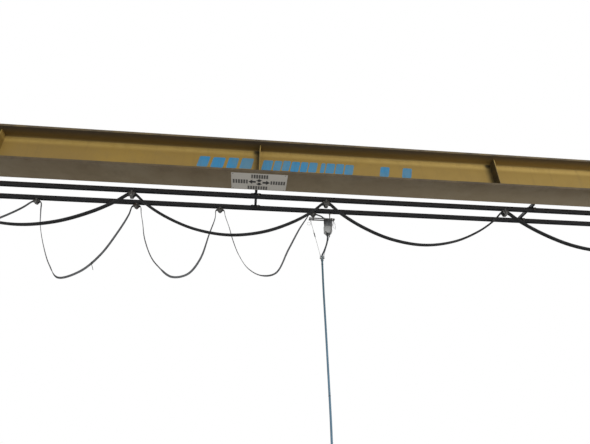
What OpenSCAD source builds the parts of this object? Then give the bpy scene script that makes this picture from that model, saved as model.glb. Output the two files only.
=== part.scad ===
/* [Girder] */
// Distance between the centre lines of the two runway rails
span = 12300; // [11700:100:13500]
// Length of the girder past each rail centre line
girder_overhang = 150; // [100:10:300]
// Height of the rolled girder
girder_h = 400; // [340:10:500]
// Width of the girder flanges
girder_w = 300; // [280:10:320]
// Thickness of the girder flanges
flange_t = 24; // [16:1:30]
// Thickness of the girder web
web_t = 13.5; // [10:0.5:20]
// Root radius between web and flanges
root_r = 27; // [20:1:30]
// Distance from one web stiffener to the next
stiffener_pitch = 2460; // [2000:10:2900]
// Width of a web stiffener, measured from the web
stiffener_w = 90; // [60:5:95]
// Thickness of a web stiffener
stiffener_t = 12; // [8:1:20]
// Thickness of the plates that close the girder's ends
end_plate_t = 12; // [8:1:20]

/* [Runway] */
// Length of the stretch of runway
runway_len = 6000; // [5000:100:9000]
// Height of a runway beam
runway_h = 260; // [220:10:400]
// Width of the runway beam flanges
runway_w = 260; // [240:10:300]
// Thickness of the runway beam flanges
runway_flange_t = 17.5; // [12:0.5:24]
// Thickness of the runway beam web
runway_web_t = 10; // [8:0.5:16]
// Root radius of the runway beam
runway_root_r = 24; // [15:1:30]
// Width of the rail bar
rail_w = 50; // [40:5:60]
// Height of the rail bar
rail_h = 30; // [25:5:50]
// Thickness of an end stop plate
stop_t = 20; // [12:1:30]
// Distance from the runway's end to the face of its stop
stop_inset = 160; // [120:10:300]
// Radius of the bolt holes in the runway beams
seat_hole_r = 11; // [8:0.5:14]

/* [End carriages] */
// Length of an end carriage
carriage_len = 2300; // [2200:50:2800]
// Width of an end carriage
carriage_w = 180; // [160:10:240]
// Height of an end carriage
carriage_h = 240; // [220:10:320]
// Plate thickness of an end carriage
carriage_t = 8; // [6:1:12]
// Gap between the rail top and the underside of an end carriage
carriage_gap = 30; // [20:1:40]
// Distance from a wheel axle to the nearer end of its carriage
axle_inset = 200; // [170:10:300]
// Running diameter of a travel wheel
wheel_d = 200; // [180:10:210]
// Radius of a wheel axle
axle_r = 25; // [18:1:30]
// Rubber buffer length
buffer_len = 70; // [40:5:100]
// Rubber buffer radius
buffer_r = 50; // [30:5:70]

/* [Cable tracks] */
// Outer width of a cable track
track_w = 40; // [36:1:50]
// Outer height of a cable track
track_h = 40; // [36:1:50]
// Wall of a cable track
track_wall = 3; // [2:0.5:4]
// Width of the slot under a cable track
track_slot = 16; // [14:1:18]
// Distance from the girder axis to the hoist cable track
hoist_track_y = 267; // [255:1:290]
// Distance from the girder axis to the pendant cable track
pendant_track_y = 490; // [440:5:560]
// Distance from a rail centre line to the start of the tracks
track_setback = 700; // [690:5:720]
// Side of the square tube arms that carry the tracks
arm_size = 26; // [22:1:40]
// Wall of the square tube arms
arm_wall = 3; // [2:0.5:4]
// Distance from one track arm to the next
arm_pitch = 3000; // [2600:50:3200]
// Plate thickness of the track brackets
bracket_t = 4; // [3:0.5:6]

/* [Hoist] */
// Distance from mid span to the middle of the hoist
hoist_x = 4750; // [4650:10:4850]
// Radius of the rope drum
drum_r = 104; // [90:2:110]
// Radius of the wire rope
rope_r = 6; // [4:0.5:8]
// Height of the rope falls below the drum axis
fall_len = 560; // [450:10:1200]
// Radius of the bottom sheave at the rope's centre line
sheave_r = 100; // [80:5:110]
// Radius of a hoist trolley wheel
trolley_wheel_r = 55; // [45:1:60]
// Radius of the hoist motor
hoist_motor_r = 95; // [80:5:110]
// Length of the hoist motor
hoist_motor_len = 320; // [250:10:400]
// Radius of the hook's bowl at the middle of the stock
hook_bowl_r = 66; // [60:2:80]
// Radius of the hook's stock
hook_stock_r = 21; // [16:1:24]

/* [Pendant] */
// Width of the junction box
box_w = 84; // [70:2:100]
// Height of the junction box
box_h = 105; // [90:1:130]
// Depth of the junction box
box_d = 56; // [50:2:60]
// Length of the pendant trolley's bar
pendant_bar_len = 270; // [260:5:320]
// Width of the push button station
station_w = 84; // [70:2:100]
// Depth of the push button station
station_d = 64; // [50:2:80]
// Height of the push button station without its boot
station_h = 380; // [340:10:460]
// Radius of a push button
button_r = 15; // [11:1:17]

/* [Control cabinet] */
// Length of the cabinet along the girder
cabinet_x = 420; // [380:10:500]
// Depth of the cabinet across the girder
cabinet_y = 360; // [340:10:420]
// Height of the cabinet
cabinet_z = 446; // [350:2:600]

/* [Hidden] */
$fn = 48;
// Gap left between pieces that turn or roll on each other
seat_gap = 0.3;
girder_len = span + 2 * girder_overhang;
rail_top = runway_h + rail_h;
girder_z = rail_top + carriage_gap + carriage_h;
mid_x = span / 2;
web_inner_h = girder_h - 2 * flange_t;
stiffener_copes = root_r + 5;
stiffener_end_room = 600;
stiffener_reach = mid_x - stiffener_end_room;
stiffener_n = floor(stiffener_reach / stiffener_pitch);
wheel_base = carriage_len - 2 * axle_inset;
wheel_axle_z = wheel_d / 2 + seat_gap - carriage_gap;
tread_w = rail_w + 10;
wheel_flange_w = 12;
wheel_flange_h = 14;
wheel_hub_w = tread_w + 2 * wheel_flange_w + 8;
wheel_hub_r = axle_r + 22;
housing_r = axle_r + 26;
housing_t = 12;
buffer_plate_t = 10;
buffer_plate_w = 2 * buffer_r + 20;
buffer_z = carriage_h / 2;
rail_len = runway_len - 2 * stop_inset;
stop_w = 2 * buffer_r + 30;
stop_top = carriage_gap + rail_h + buffer_z + buffer_r + 10;
seat_hole_x = 160;
seat_hole_y = 200;
seat_hole_inset = 160;
drive_case_t = 90;
drive_case_r = 72;
drive_offset = 90;
drive_motor_r = 68;
drive_motor_len = 230;
drive_cowl_len = 60;

// Track levels, measured from the underside of the girder
track_top = flange_t - bracket_t;
track_mid = track_top - track_h / 2;
track_bottom = track_top - track_h;
track_half = mid_x - track_setback;
bracket_len = 100;
bracket_side_t = 3;
arm_first = -(stiffener_t + arm_size) / 2;
arm_plate_t = 8;
arm_plate_size = 110;
arm_inner_y = web_t / 2 + arm_plate_t;
arm_drop_y = girder_w / 2 + 50;
arm_upper_z = girder_h * 0.58;
arm_outer_y = pendant_track_y + track_w / 2 + 20;
arm_positions = concat([for (k = [-1:1]) arm_first + k * arm_pitch], [-track_half + 120, track_half - 120]);
cabinet_start = -mid_x + 230;
cabinet_arm_positions = [cabinet_start + 50, cabinet_start + cabinet_x - 50];
cabinet_inner_y = arm_drop_y + arm_size + 10;
cabinet_arm_outer = cabinet_inner_y + cabinet_y;
cabinet_bottom = flange_t + arm_size;
gland_x = cabinet_start + cabinet_x / 2;
gland_r = 24;
gland_len = 30;

// Cable trolleys, measured from mid span
hoist_trolley_xs = [-5160, -3205, -1250, 710, 2660, 4615];
pendant_trolley_xs = [-5240, -3990, -2240, -1250, -390];
pendant_saddle_x = 605;
pendant_carrier_x = 785;
hoist_cable_w = 40;
hoist_cable_t = 8;
hoist_cable_gap = 0.6;
hoist_stack_t = 2 * hoist_cable_t + hoist_cable_gap;
pendant_cable_w = 22;
pendant_cable_t = 6;
saddle_flat = 12;
saddle_half = 36;
saddle_fall = 12;
saddle_depth = 40;
cheek_t = 3;
roller_r = 10;
roller_w = 7;
neck_w = 10;
neck_len = 64;
clamp_t = 4;
clamp_drop = 10;
hoist_cable_z = track_bottom - clamp_drop - clamp_t - hoist_stack_t / 2;
pendant_cable_z = track_bottom - clamp_drop - clamp_t - pendant_cable_t / 2;

// Shape of a shallow cable loop: share of the pitch, share of the drop
shallow_loop = [[0.07, 0.24], [0.18, 0.58], [0.33, 0.88], [0.5, 1], [0.67, 0.88], [0.82, 0.58], [0.93, 0.24]];
// Shapes of the three deep cable loops next to the pendant: share of the pitch, share of the drop
deep_loops = [
    [[0.07, 0.15], [0.11, 0.34], [0.21, 0.63], [0.31, 0.85], [0.42, 1], [0.6, 0.92], [0.75, 0.71], [0.88, 0.36],
     [0.94, 0.14]],
    [[0.07, 0.12], [0.11, 0.27], [0.16, 0.48], [0.27, 0.74], [0.36, 0.86], [0.53, 1], [0.7, 0.96], [0.82, 0.76],
     [0.9, 0.38], [0.95, 0.14]],
    [[0.06, 0.11], [0.11, 0.29], [0.16, 0.5], [0.23, 0.72], [0.33, 0.91], [0.46, 1], [0.6, 0.96], [0.73, 0.6],
     [0.85, 0.26], [0.92, 0.1]]];
// Drop of each hoist cable loop below its trolleys
hoist_loop_drops = [420, 405, 427, 447, 428];
// Drop of each pendant cable loop below its trolleys
pendant_loop_drops = [600, 400, 840, 790, 750];
// Points of the hoist cable from its gland to the first trolley, and from the last trolley to the hoist
hoist_feed = [[-5710, 20], [-5710, -60], [-5680, -180], [-5590, -280], [-5450, -300], [-5310, -220]];
hoist_tail = [[4690, -88], [4730, -170], [4780, -232], [4828, -260], [4870, -260]];
// Points of the pendant cable from its gland to the first trolley, and from the last saddle to the junction box
pendant_feed = [[-5710, 20], [-5710, -80], [-5680, -240], [-5590, -370], [-5480, -400], [-5380, -320],
                [-5310, -150]];
pendant_tail = [[690, -66], [720, -90], [734, -114], [734, -128]];
pendant_gland_x = 734;
pendant_gland_top = -128;
pendant_box_x = 760;
pendant_box_y = 16;
pendant_box_top = -172;
box_cut = 22;
box_lid_t = 5;
box_plate_w = 92;
box_plate_t = 4;
box_plate_lap = 14;
box_plate_slot = 14;
bar_z = -112;
bar_h = 14;
bar_y_in = 16;
bar_t = 4;
gland_drop = 30;
lead_r = 9;
lead_gland_r = 15;
lead_x = 750;
// Points of the lead from the junction box to the strain clamp
lead_route = [[750, -307], [750, -324], [744, -370], [724, -440], [700, -500], [686, -530], [681, -547],
              [681, -556]];
strain_clamp_x = 681;
strain_clamp_top = -556;
strain_clamp_r = 15;
strain_clamp_len = 44;
eye_y = -26;
eye_r = 10;
ear_y = -10;
wire_r = 1.6;
wire_fitting_r = 4.5;
wire_fitting_from = 0.37;
wire_fitting_to = 0.48;
bracket_clip_w = 28;
bracket_clip_h = 34;
bracket_rib_h = 20;
bracket_rib_t = 6;
pendant_cord_r = 10;
// Points of the pendant cable from the strain clamp to the station
pendant_route = [[681, -600], [681, -900], [686, -1300], [690, -1700], [693, -2100], [690, -2500], [690, -2720]];
station_x = 690;
station_top = -2790;

// Hoist sizes, measured from the middle of the hoist
trolley_base = 180;
side_plate_t = 12;
side_plate_y = girder_w / 2 + 15;
side_plate_half = 260;
hoist_end_t = 12;
hoist_end_x = side_plate_half;
rope_y = sheave_r;
drum_y = -rope_y - drum_r - rope_r;
drum_z = -330;
drum_len = 2 * hoist_end_x - 40;
sheave_z = drum_z - fall_len;
hook_z = sheave_z - sheave_r - 150;
tie_r = 14;
sheave_pin_r = 20;
drum_shaft_r = 30;
hoist_box_x0 = 150;
hoist_box_len = 280;
hoist_box_y = side_plate_y + side_plate_t;
hoist_box_d = 160;
hoist_box_top = -130;
hoist_box_h = 230;

// Helpers

module on_bridge() {
    translate([mid_x, 0, girder_z]) children();
}

module on_hoist() {
    on_bridge() translate([hoist_x, 0, 0]) children();
}

module at_runways() {
    for (x = [0, span]) translate([x, 0, 0]) children();
}

module along_x(length) {
    rotate([90, 0, 90]) linear_extrude(height = length, center = true) children();
}

module along_y(length) {
    rotate([90, 0, 0]) linear_extrude(height = length, center = true) children();
}

module bar_x(r, length) {
    rotate([0, 90, 0]) cylinder(r = r, h = length, center = true);
}

module bar_y(r, length) {
    rotate([90, 0, 0]) cylinder(r = r, h = length, center = true);
}

module root_fillet(r) {
    difference() {
        square(r);
        translate([r, r]) circle(r);
    }
}

module i_section(h, w, tf, tw, r) {
    translate([-w / 2, 0]) square([w, tf]);
    translate([-w / 2, h - tf]) square([w, tf]);
    translate([-tw / 2, 0]) square([tw, h]);
    for (side = [0, 1], top = [0, 1])
        translate([(1 - 2 * side) * tw / 2, top == 1 ? h - tf : tf])
            mirror([side, 0]) mirror([0, top]) root_fillet(r);
}

module rounded_rect(w, h, r) {
    translate([-w / 2 + r, -h / 2]) square([w - 2 * r, h]);
    translate([-w / 2, -h / 2 + r]) square([w, h - 2 * r]);
    for (sx = [-1, 1], sy = [-1, 1])
        translate([sx * (w / 2 - r), sy * (h / 2 - r)]) circle(r);
}

module stadium(r, rise) {
    circle(r);
    translate([-r, 0]) square([2 * r, rise]);
    translate([0, rise]) circle(r);
}

// Points where a cable lies on the saddle of a trolley
function saddle_points(x, z) =
    [[x - saddle_half - 4, z - saddle_fall], [x - saddle_flat, z], [x + saddle_flat, z],
     [x + saddle_half + 4, z - saddle_fall]];

// Points of one hanging loop between two trolleys
function loop_points(x0, x1, z, drop, shape) =
    [for (p = shape) [x0 + p[0] * (x1 - x0), z - p[1] * drop]];

function join(lists) = [for (l = lists) for (p = l) p];

function unit(v) = v / norm(v);

// Direction of a route at one of its points
function route_dir(route, i) =
    let (last = len(route) - 1)
    unit(route[min(i + 1, last)] - route[max(i - 1, 0)]);

// Cross section of a cable with cut corners, raised off its route: position across, position up
function cable_section(half_w, half_t, rise) =
    let (a = 0.414 * half_t, b = half_w - 0.586 * half_t)
    [for (q = [[half_w, a], [b, half_t], [-b, half_t], [-half_w, a],
               [-half_w, -a], [-b, -half_t], [b, -half_t], [half_w, -a]]) [q[0], q[1] + rise]];

// Ring of a cable at point p, with direction d
function ring(p, d, y, section) =
    [for (q = section) [p[0] - d[1] * q[1], y + q[0], p[1] + d[0] * q[1]]];

module cable_tube(route, y, half_w, half_t, rise = 0) {
    section = cable_section(half_w, half_t, rise);
    sides = len(section);
    rings = len(route);
    points = [for (i = [0:rings - 1]) each ring(route[i], route_dir(route, i), y, section)];
    walls = [for (i = [0:rings - 2], k = [0:sides - 1])
        let (a = i * sides + k, b = i * sides + (k + 1) % sides)
        each [[a, b, b + sides], [a, b + sides, a + sides]]];
    start = [[for (k = [0:sides - 1]) sides - 1 - k]];
    finish = [[for (k = [0:sides - 1]) (rings - 1) * sides + k]];
    polyhedron(points = points, faces = concat(walls, start, finish), convexity = 10);
}

// Runway

module runway_beam() {
    difference() {
        along_y(runway_len) i_section(runway_h, runway_w, runway_flange_t, runway_web_t, runway_root_r);
        for (side = [-1, 1], x = [-1, 1], y = [-1, 1])
            translate([x * seat_hole_x / 2, side * (runway_len / 2 - seat_hole_inset) + y * seat_hole_y / 2,
                       -1])
                cylinder(r = seat_hole_r, h = runway_flange_t + 2);
    }
}

module runway_beam_left() {
    color("slategray") runway_beam();
}

module runway_beam_right() {
    color("slategray") translate([span, 0, 0]) runway_beam();
}

module runway_rails() {
    color("dimgray") at_runways()
        translate([-rail_w / 2, -rail_len / 2, runway_h]) cube([rail_w, rail_len, rail_h]);
}

module runway_stop() {
    translate([-stop_w / 2, 0, 0]) cube([stop_w, stop_t, stop_top]);
    translate([0, stop_t, 0]) rotate([90, 0, 90])
        linear_extrude(height = stop_t, center = true)
            polygon([[0, 0], [stop_inset - stop_t, 0], [0, stop_top * 0.9]]);
}

module runway_stops() {
    color("gold") at_runways()
        for (side = [0, 1])
            mirror([0, side, 0]) translate([0, runway_len / 2 - stop_inset, runway_h]) runway_stop();
}

// Girder

module girder() {
    color("goldenrod") on_bridge() along_x(girder_len)
        i_section(girder_h, girder_w, flange_t, web_t, root_r);
}

module stiffener_pair(w) {
    for (side = [0, 1])
        mirror([0, side, 0]) translate([0, web_t / 2, flange_t])
            along_x(stiffener_t)
                polygon([[0, stiffener_copes], [stiffener_copes, 0], [w, 0], [w, web_inner_h],
                         [stiffener_copes, web_inner_h], [0, web_inner_h - stiffener_copes]]);
}

module web_stiffeners() {
    color("goldenrod") on_bridge()
        for (k = [-stiffener_n:stiffener_n]) translate([k * stiffener_pitch, 0, 0]) stiffener_pair(stiffener_w);
}

module girder_end_plates() {
    color("goldenrod") on_bridge() {
        for (side = [-1, 1])
            translate([side * (girder_len + end_plate_t) / 2 - end_plate_t / 2, -girder_w / 2, 0])
                cube([end_plate_t, girder_w, girder_h]);
        for (side = [-1, 1])
            translate([side * mid_x, 0, 0]) stiffener_pair((girder_w - web_t) / 2);
    }
}

// End carriages

module at_wheels() {
    for (y = [-1, 1]) translate([0, y * wheel_base / 2, wheel_axle_z - carriage_h]) children();
}

module end_carriage() {
    slot_w = wheel_hub_w + 16;
    slot_len = 2 * sqrt(pow(wheel_d / 2 + wheel_flange_h, 2) - pow(wheel_axle_z - carriage_t, 2)) + 20;
    difference() {
        union() {
            translate([-carriage_w / 2, -carriage_len / 2, -carriage_h])
                cube([carriage_w, carriage_len, carriage_h]);
            at_wheels() bar_x(housing_r, carriage_w + 2 * housing_t);
            for (y = [-1, 1])
                translate([-buffer_plate_w / 2, y * (carriage_len + buffer_plate_t) / 2 - buffer_plate_t / 2,
                           buffer_z - carriage_h - buffer_plate_w / 2])
                    cube([buffer_plate_w, buffer_plate_t, buffer_plate_w]);
        }
        translate([-carriage_w / 2 + carriage_t, -carriage_len / 2 + carriage_t, -carriage_h + carriage_t])
            cube([carriage_w - 2 * carriage_t, carriage_len - 2 * carriage_t, carriage_h - 2 * carriage_t]);
        at_wheels() bar_x(axle_r + seat_gap, carriage_w + 2 * housing_t + 2);
        for (y = [-1, 1])
            translate([-slot_w / 2, y * wheel_base / 2 - slot_len / 2, -carriage_h - 1])
                cube([slot_w, slot_len, carriage_t + 2]);
    }
}

module end_carriage_left() {
    color("goldenrod") on_bridge() translate([-mid_x, 0, 0]) end_carriage();
}

module end_carriage_right() {
    color("goldenrod") on_bridge() translate([mid_x, 0, 0]) end_carriage();
}

module at_carriage_wheels() {
    on_bridge() for (side = [-1, 1]) translate([side * mid_x, 0, 0]) at_wheels() children();
}

module travel_wheel() {
    r = wheel_d / 2;
    rim = r - 22;
    flange = r + wheel_flange_h;
    half = tread_w / 2;
    outer = half + wheel_flange_w;
    hub = wheel_hub_w / 2;
    bore = axle_r + seat_gap;
    rotate([0, 90, 0]) rotate_extrude($fn = 96)
        polygon([[bore, -hub], [wheel_hub_r, -hub], [wheel_hub_r, -12], [rim, -12], [rim, -outer],
                 [flange, -outer], [flange, -half - 4], [r, -half], [r, half], [flange, half + 4],
                 [flange, outer], [rim, outer], [rim, 12], [wheel_hub_r, 12], [wheel_hub_r, hub], [bore, hub]]);
}

module travel_wheels() {
    color("dimgray") at_carriage_wheels() travel_wheel();
}

module wheel_axles() {
    inner = carriage_w / 2 - carriage_t;
    color("silver") at_carriage_wheels() {
        bar_x(axle_r, carriage_w + 2 * housing_t);
        for (side = [-1, 1])
            translate([side * (inner + wheel_hub_w / 2) / 2, 0, 0])
                bar_x(axle_r + 8, inner - wheel_hub_w / 2 - 2 * seat_gap);
    }
}

module travel_drive() {
    translate([carriage_w / 2 + housing_t, -wheel_base / 2, wheel_axle_z - carriage_h]) {
        translate([drive_case_t / 2, 0, 0]) along_x(drive_case_t) stadium(drive_case_r, drive_offset);
        translate([drive_case_t, 0, drive_offset]) {
            translate([drive_motor_len / 2, 0, 0]) bar_x(drive_motor_r, drive_motor_len);
            translate([drive_motor_len + drive_cowl_len / 2, 0, 0]) bar_x(drive_motor_r + 4, drive_cowl_len);
            translate([drive_motor_len * 0.25, -45, drive_motor_r - 10])
                cube([drive_motor_len * 0.45, 90, 50]);
        }
    }
}

module travel_drive_left() {
    color("steelblue") on_bridge() translate([-mid_x, 0, 0]) travel_drive();
}

module travel_drive_right() {
    color("steelblue") on_bridge() mirror([1, 0, 0]) translate([-mid_x, 0, 0]) travel_drive();
}

module buffers() {
    color("black") on_bridge()
        for (side = [-1, 1], y = [0, 1])
            translate([side * mid_x, 0, buffer_z - carriage_h]) mirror([0, y, 0])
                translate([0, carriage_len / 2 + buffer_plate_t, 0]) rotate([-90, 0, 0])
                    rotate_extrude()
                        polygon([[0, 0], [buffer_r, 0], [buffer_r, buffer_len * 0.35],
                                 [buffer_r * 0.8, buffer_len * 0.8], [buffer_r * 0.55, buffer_len],
                                 [0, buffer_len]]);
}

// Hoist

module at_trolley_wheels() {
    on_hoist() for (x = [-1, 1], side = [0, 1])
        translate([x * trolley_base, 0, flange_t + trolley_wheel_r + seat_gap]) mirror([0, side, 0]) children();
}

module side_plate() {
    top = flange_t + trolley_wheel_r + 45;
    along_y(side_plate_t)
        translate([0, (top - 190) / 2]) rounded_rect(2 * side_plate_half, top + 190, 30);
}

module hoist_trolley_frame() {
    color("goldenrod") on_hoist() {
        for (side = [-1, 1])
            translate([0, side * (side_plate_y + side_plate_t / 2), 0]) side_plate();
        for (x = [-1, 1])
            translate([x * (side_plate_half - 60), 0, -60]) bar_y(tie_r + 6, 2 * side_plate_y);
    }
}

module hoist_trolley_wheels() {
    inner = web_t / 2 + stiffener_w + 10;
    edge = girder_w / 2;
    color("dimgray") at_trolley_wheels()
        translate([0, inner, 0]) rotate([-90, 0, 0]) {
            cylinder(r = trolley_wheel_r, h = edge + 4 - inner);
            translate([0, 0, edge + 4 - inner]) cylinder(r = trolley_wheel_r + 8, h = 8);
            translate([0, 0, edge + 12 - inner]) cylinder(r = 18, h = side_plate_y - edge - 12);
        }
}

module hoist_frame() {
    plate_y0 = drum_y - drum_r - 16;
    plate_y1 = side_plate_y + side_plate_t;
    plate_z0 = drum_z - drum_r - 8;
    plate_z1 = -60;
    color("steelblue") on_hoist() {
        for (side = [-1, 1])
            translate([side * (hoist_end_x + hoist_end_t / 2), (plate_y0 + plate_y1) / 2,
                       (plate_z0 + plate_z1) / 2])
                along_x(hoist_end_t) rounded_rect(plate_y1 - plate_y0, plate_z1 - plate_z0, 40);
        for (p = [[-side_plate_y - 35, -90], [-30, plate_z0 + 30], [side_plate_y - 20, plate_z0 + 60]])
            translate([0, p[0], p[1]]) bar_x(tie_r, 2 * hoist_end_x);
        translate([0, rope_y, -110]) bar_x(tie_r + 4, 2 * hoist_end_x);
    }
}

module rope_drum() {
    turns = floor((drum_len - 60) / (2 * rope_r + 1));
    pitch = 2 * rope_r + 1;
    color("silver") on_hoist() translate([0, drum_y, drum_z]) rotate([0, 90, 0]) rotate_extrude($fn = 96)
        union() {
            translate([0, -drum_len / 2]) square([drum_r - rope_r, drum_len]);
            translate([0, -hoist_end_x]) square([drum_shaft_r, 2 * hoist_end_x]);
            for (k = [0:turns - 1])
                translate([drum_r - rope_r, (k - floor(turns / 2)) * pitch]) circle(rope_r, $fn = 24);
            for (side = [-1, 1])
                translate([0, side * (drum_len / 2 - 8) - 8]) square([drum_r + 14, 16]);
        }
}

module hoist_motor() {
    color("steelblue") on_hoist() translate([hoist_end_x + hoist_end_t, drum_y, drum_z]) {
        translate([15, 0, 0]) bar_x(hoist_motor_r + 20, 30);
        translate([30 + hoist_motor_len / 2, 0, 0]) bar_x(hoist_motor_r, hoist_motor_len);
        translate([30 + hoist_motor_len + 35, 0, 0]) bar_x(hoist_motor_r + 4, 70);
    }
}

module hoist_gearbox() {
    color("steelblue") on_hoist() translate([-hoist_end_x - hoist_end_t - 60, drum_y, drum_z]) {
        along_x(120) stadium(115, 90);
        translate([-80, 0, 90]) bar_x(60, 40);
    }
}

module hoist_control_box() {
    color("lightgray") on_hoist() {
        translate([hoist_box_x0, hoist_box_y, hoist_box_top - hoist_box_h])
            cube([hoist_box_len, hoist_box_d, hoist_box_h]);
        translate([hoist_box_x0 - 15, hoist_track_y, -260]) bar_x(gland_r, 30);
    }
}

module hoist_rope() {
    color("gray") on_hoist() {
        translate([0, -rope_y, sheave_z]) cylinder(r = rope_r, h = drum_z - sheave_z);
        translate([0, rope_y, sheave_z]) cylinder(r = rope_r, h = -110 - tie_r - 4 - sheave_z);
        translate([0, 0, sheave_z]) rotate([90, 0, 90]) rotate([0, 0, 180])
            rotate_extrude(angle = 180) translate([rope_y, 0]) circle(rope_r);
    }
}

module bottom_sheave() {
    r = sheave_r;
    pin = sheave_pin_r + seat_gap;
    color("dimgray") on_hoist() translate([0, 0, sheave_z]) rotate([0, 90, 0]) rotate_extrude($fn = 96)
        difference() {
            translate([pin, -16]) square([r + 12 - pin, 32]);
            translate([r, 0]) circle(rope_r + seat_gap);
            translate([r, 0]) polygon([[0, -rope_r], [14, -14], [14, 14], [0, rope_r]]);
        }
}

module hook_block() {
    color("gold") on_hoist() {
        for (side = [-1, 1])
            translate([side * 24, 0, sheave_z - 150]) along_x(12) stadium(58, 150);
        translate([0, 0, sheave_z]) bar_x(sheave_pin_r, 72);
        translate([-18, -40, sheave_z - sheave_r - 82]) cube([36, 80, 50]);
    }
}

module lifting_hook() {
    color("silver") on_hoist() translate([0, 0, hook_z - 30]) {
        translate([0, 0, hook_bowl_r - 8]) cylinder(r = hook_stock_r - 2, h = 106 - hook_bowl_r);
        rotate([90, 0, 0]) rotate([0, 0, -170]) rotate_extrude(angle = 260)
            translate([hook_bowl_r, 0]) circle(hook_stock_r);
        rotate([0, -10, 0]) translate([-hook_bowl_r, 0, 0]) sphere(hook_stock_r);
    }
}

// Cable tracks

module control_cabinet() {
    color("lightgray") on_bridge() {
        translate([cabinet_start, cabinet_inner_y, cabinet_bottom]) {
            cube([cabinet_x, cabinet_y, cabinet_z]);
            translate([20, cabinet_y, 20]) cube([cabinet_x - 40, 8, cabinet_z - 40]);
        }
        for (y = [hoist_track_y, pendant_track_y])
            translate([gland_x, y, cabinet_bottom - gland_len]) cylinder(r = gland_r, h = gland_len);
    }
}

module arm_outline(outer, inset) {
    size = arm_size - 2 * inset;
    low = flange_t + inset;
    top = arm_upper_z + inset;
    drop = arm_drop_y + inset;
    translate([arm_inner_y, top]) square([drop + size - arm_inner_y, size]);
    translate([drop, low]) square([size, top + size - low]);
    translate([drop, low]) square([outer - drop + inset, size]);
}

module track_arm(x, outer) {
    translate([x, 0, 0]) {
        difference() {
            along_x(arm_size) arm_outline(outer, 0);
            along_x(arm_size - 2 * arm_wall) arm_outline(outer, arm_wall);
        }
        translate([-arm_size / 2 - 40, web_t / 2, arm_upper_z + (arm_size - arm_plate_size) / 2])
            cube([arm_size + 40, arm_plate_t, arm_plate_size]);
    }
}

module track_arms() {
    color("darkslategray") on_bridge() {
        for (x = arm_positions) track_arm(x, arm_outer_y);
        for (x = cabinet_arm_positions) track_arm(x, cabinet_arm_outer);
    }
}

module track_brackets() {
    half = track_w / 2;
    color("silver") on_bridge()
        for (x = arm_positions, y = [hoist_track_y, pendant_track_y])
            translate([x - bracket_len / 2, y, track_top]) {
                translate([0, -half - bracket_side_t, 0])
                    cube([bracket_len, track_w + 2 * bracket_side_t, bracket_t]);
                for (side = [0, 1])
                    mirror([0, side, 0]) translate([(bracket_len + arm_size) / 2, half, -bracket_clip_h])
                        cube([bracket_clip_w, bracket_side_t, bracket_clip_h]);
                if (y == hoist_track_y)
                    translate([0, 0, bracket_t]) along_y(bracket_rib_t)
                        polygon([[0, 0], [bracket_len / 2 - arm_size / 2, 0],
                                 [bracket_len / 2 - arm_size / 2, bracket_rib_h]]);
            }
}

module track(y) {
    on_bridge() translate([0, y, track_mid]) along_x(2 * track_half)
        difference() {
            square([track_w, track_h], center = true);
            square([track_w - 2 * track_wall, track_h - 2 * track_wall], center = true);
            translate([-track_slot / 2, -track_h / 2 - 1]) square([track_slot, track_wall + 2]);
        }
}

module hoist_cable_track() {
    color("darkslategray") track(hoist_track_y);
}

module pendant_cable_track() {
    color("darkslategray") track(pendant_track_y);
}

module track_end_caps() {
    color("black") on_bridge()
        for (side = [-1, 1], y = [hoist_track_y, pendant_track_y])
            translate([side * (track_half + 3) - 3, y - track_w / 2 - 2, track_bottom - 2])
                cube([6, track_w + 4, track_h + 4]);
}

// Cable trolleys

module trolley_carriage() {
    floor_z = track_bottom + track_wall;
    for (x = [-1, 1]) {
        for (side = [-1, 1])
            translate([x * neck_len / 3, side * (neck_w / 2 + 1 + roller_w / 2), floor_z + roller_r + seat_gap])
                bar_y(roller_r, roller_w);
        translate([x * neck_len / 3, 0, floor_z + roller_r + seat_gap]) bar_y(3, neck_w + 4 + roller_w);
    }
    translate([-neck_len / 2, -neck_w / 2, track_bottom - clamp_drop])
        cube([neck_len, neck_w, clamp_drop + track_wall + roller_r + 8]);
}

// Saddle below a flat cable, seen along the cable's width
module saddle_outline(rise) {
    polygon([[-saddle_flat, rise], [saddle_flat, rise], [saddle_half, rise - saddle_fall - 0.6],
             [saddle_half, -saddle_fall - 10], [saddle_flat, -saddle_depth], [-saddle_flat, -saddle_depth],
             [-saddle_half, -saddle_fall - 10], [-saddle_half, rise - saddle_fall - 0.6]]);
}

module cable_saddle(cable_w, cable_t) {
    cable_top = track_bottom - clamp_drop - clamp_t;
    translate([0, 0, cable_top - cable_t]) {
        along_y(cable_w + 2) saddle_outline(0);
        for (side = [-1, 1])
            translate([0, side * (cable_w / 2 + 1 + cheek_t / 2), 0]) along_y(cheek_t) saddle_outline(cable_t - 1);
    }
    translate([-saddle_flat, -cable_w / 2 - 15, cable_top]) cube([2 * saddle_flat, cable_w + 30, clamp_t]);
    for (side = [-1, 1]) {
        translate([0, side * (cable_w / 2 + 10), cable_top - cable_t - 26])
            cylinder(r = 4, h = cable_t + 26 + clamp_t + 5);
        translate([-10, side * (cable_w / 2 + 9) - 6, cable_top - cable_t - 24]) cube([20, 12, 5]);
    }
}

module hoist_cable_trolleys() {
    color("slategray") on_bridge()
        for (x = hoist_trolley_xs)
            translate([x, hoist_track_y, 0]) {
                trolley_carriage();
                cable_saddle(hoist_cable_w, hoist_stack_t);
            }
}

module pendant_cable_trolleys() {
    color("slategray") on_bridge()
        for (x = pendant_trolley_xs)
            translate([x, pendant_track_y, 0]) {
                trolley_carriage();
                cable_saddle(pendant_cable_w, pendant_cable_t);
            }
}

module cross_block(x, w, z0, z1) {
    half = bar_y_in + bar_t;
    translate([x - w / 2, -half, z0]) cube([w, 2 * half, z1 - z0]);
}

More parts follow.
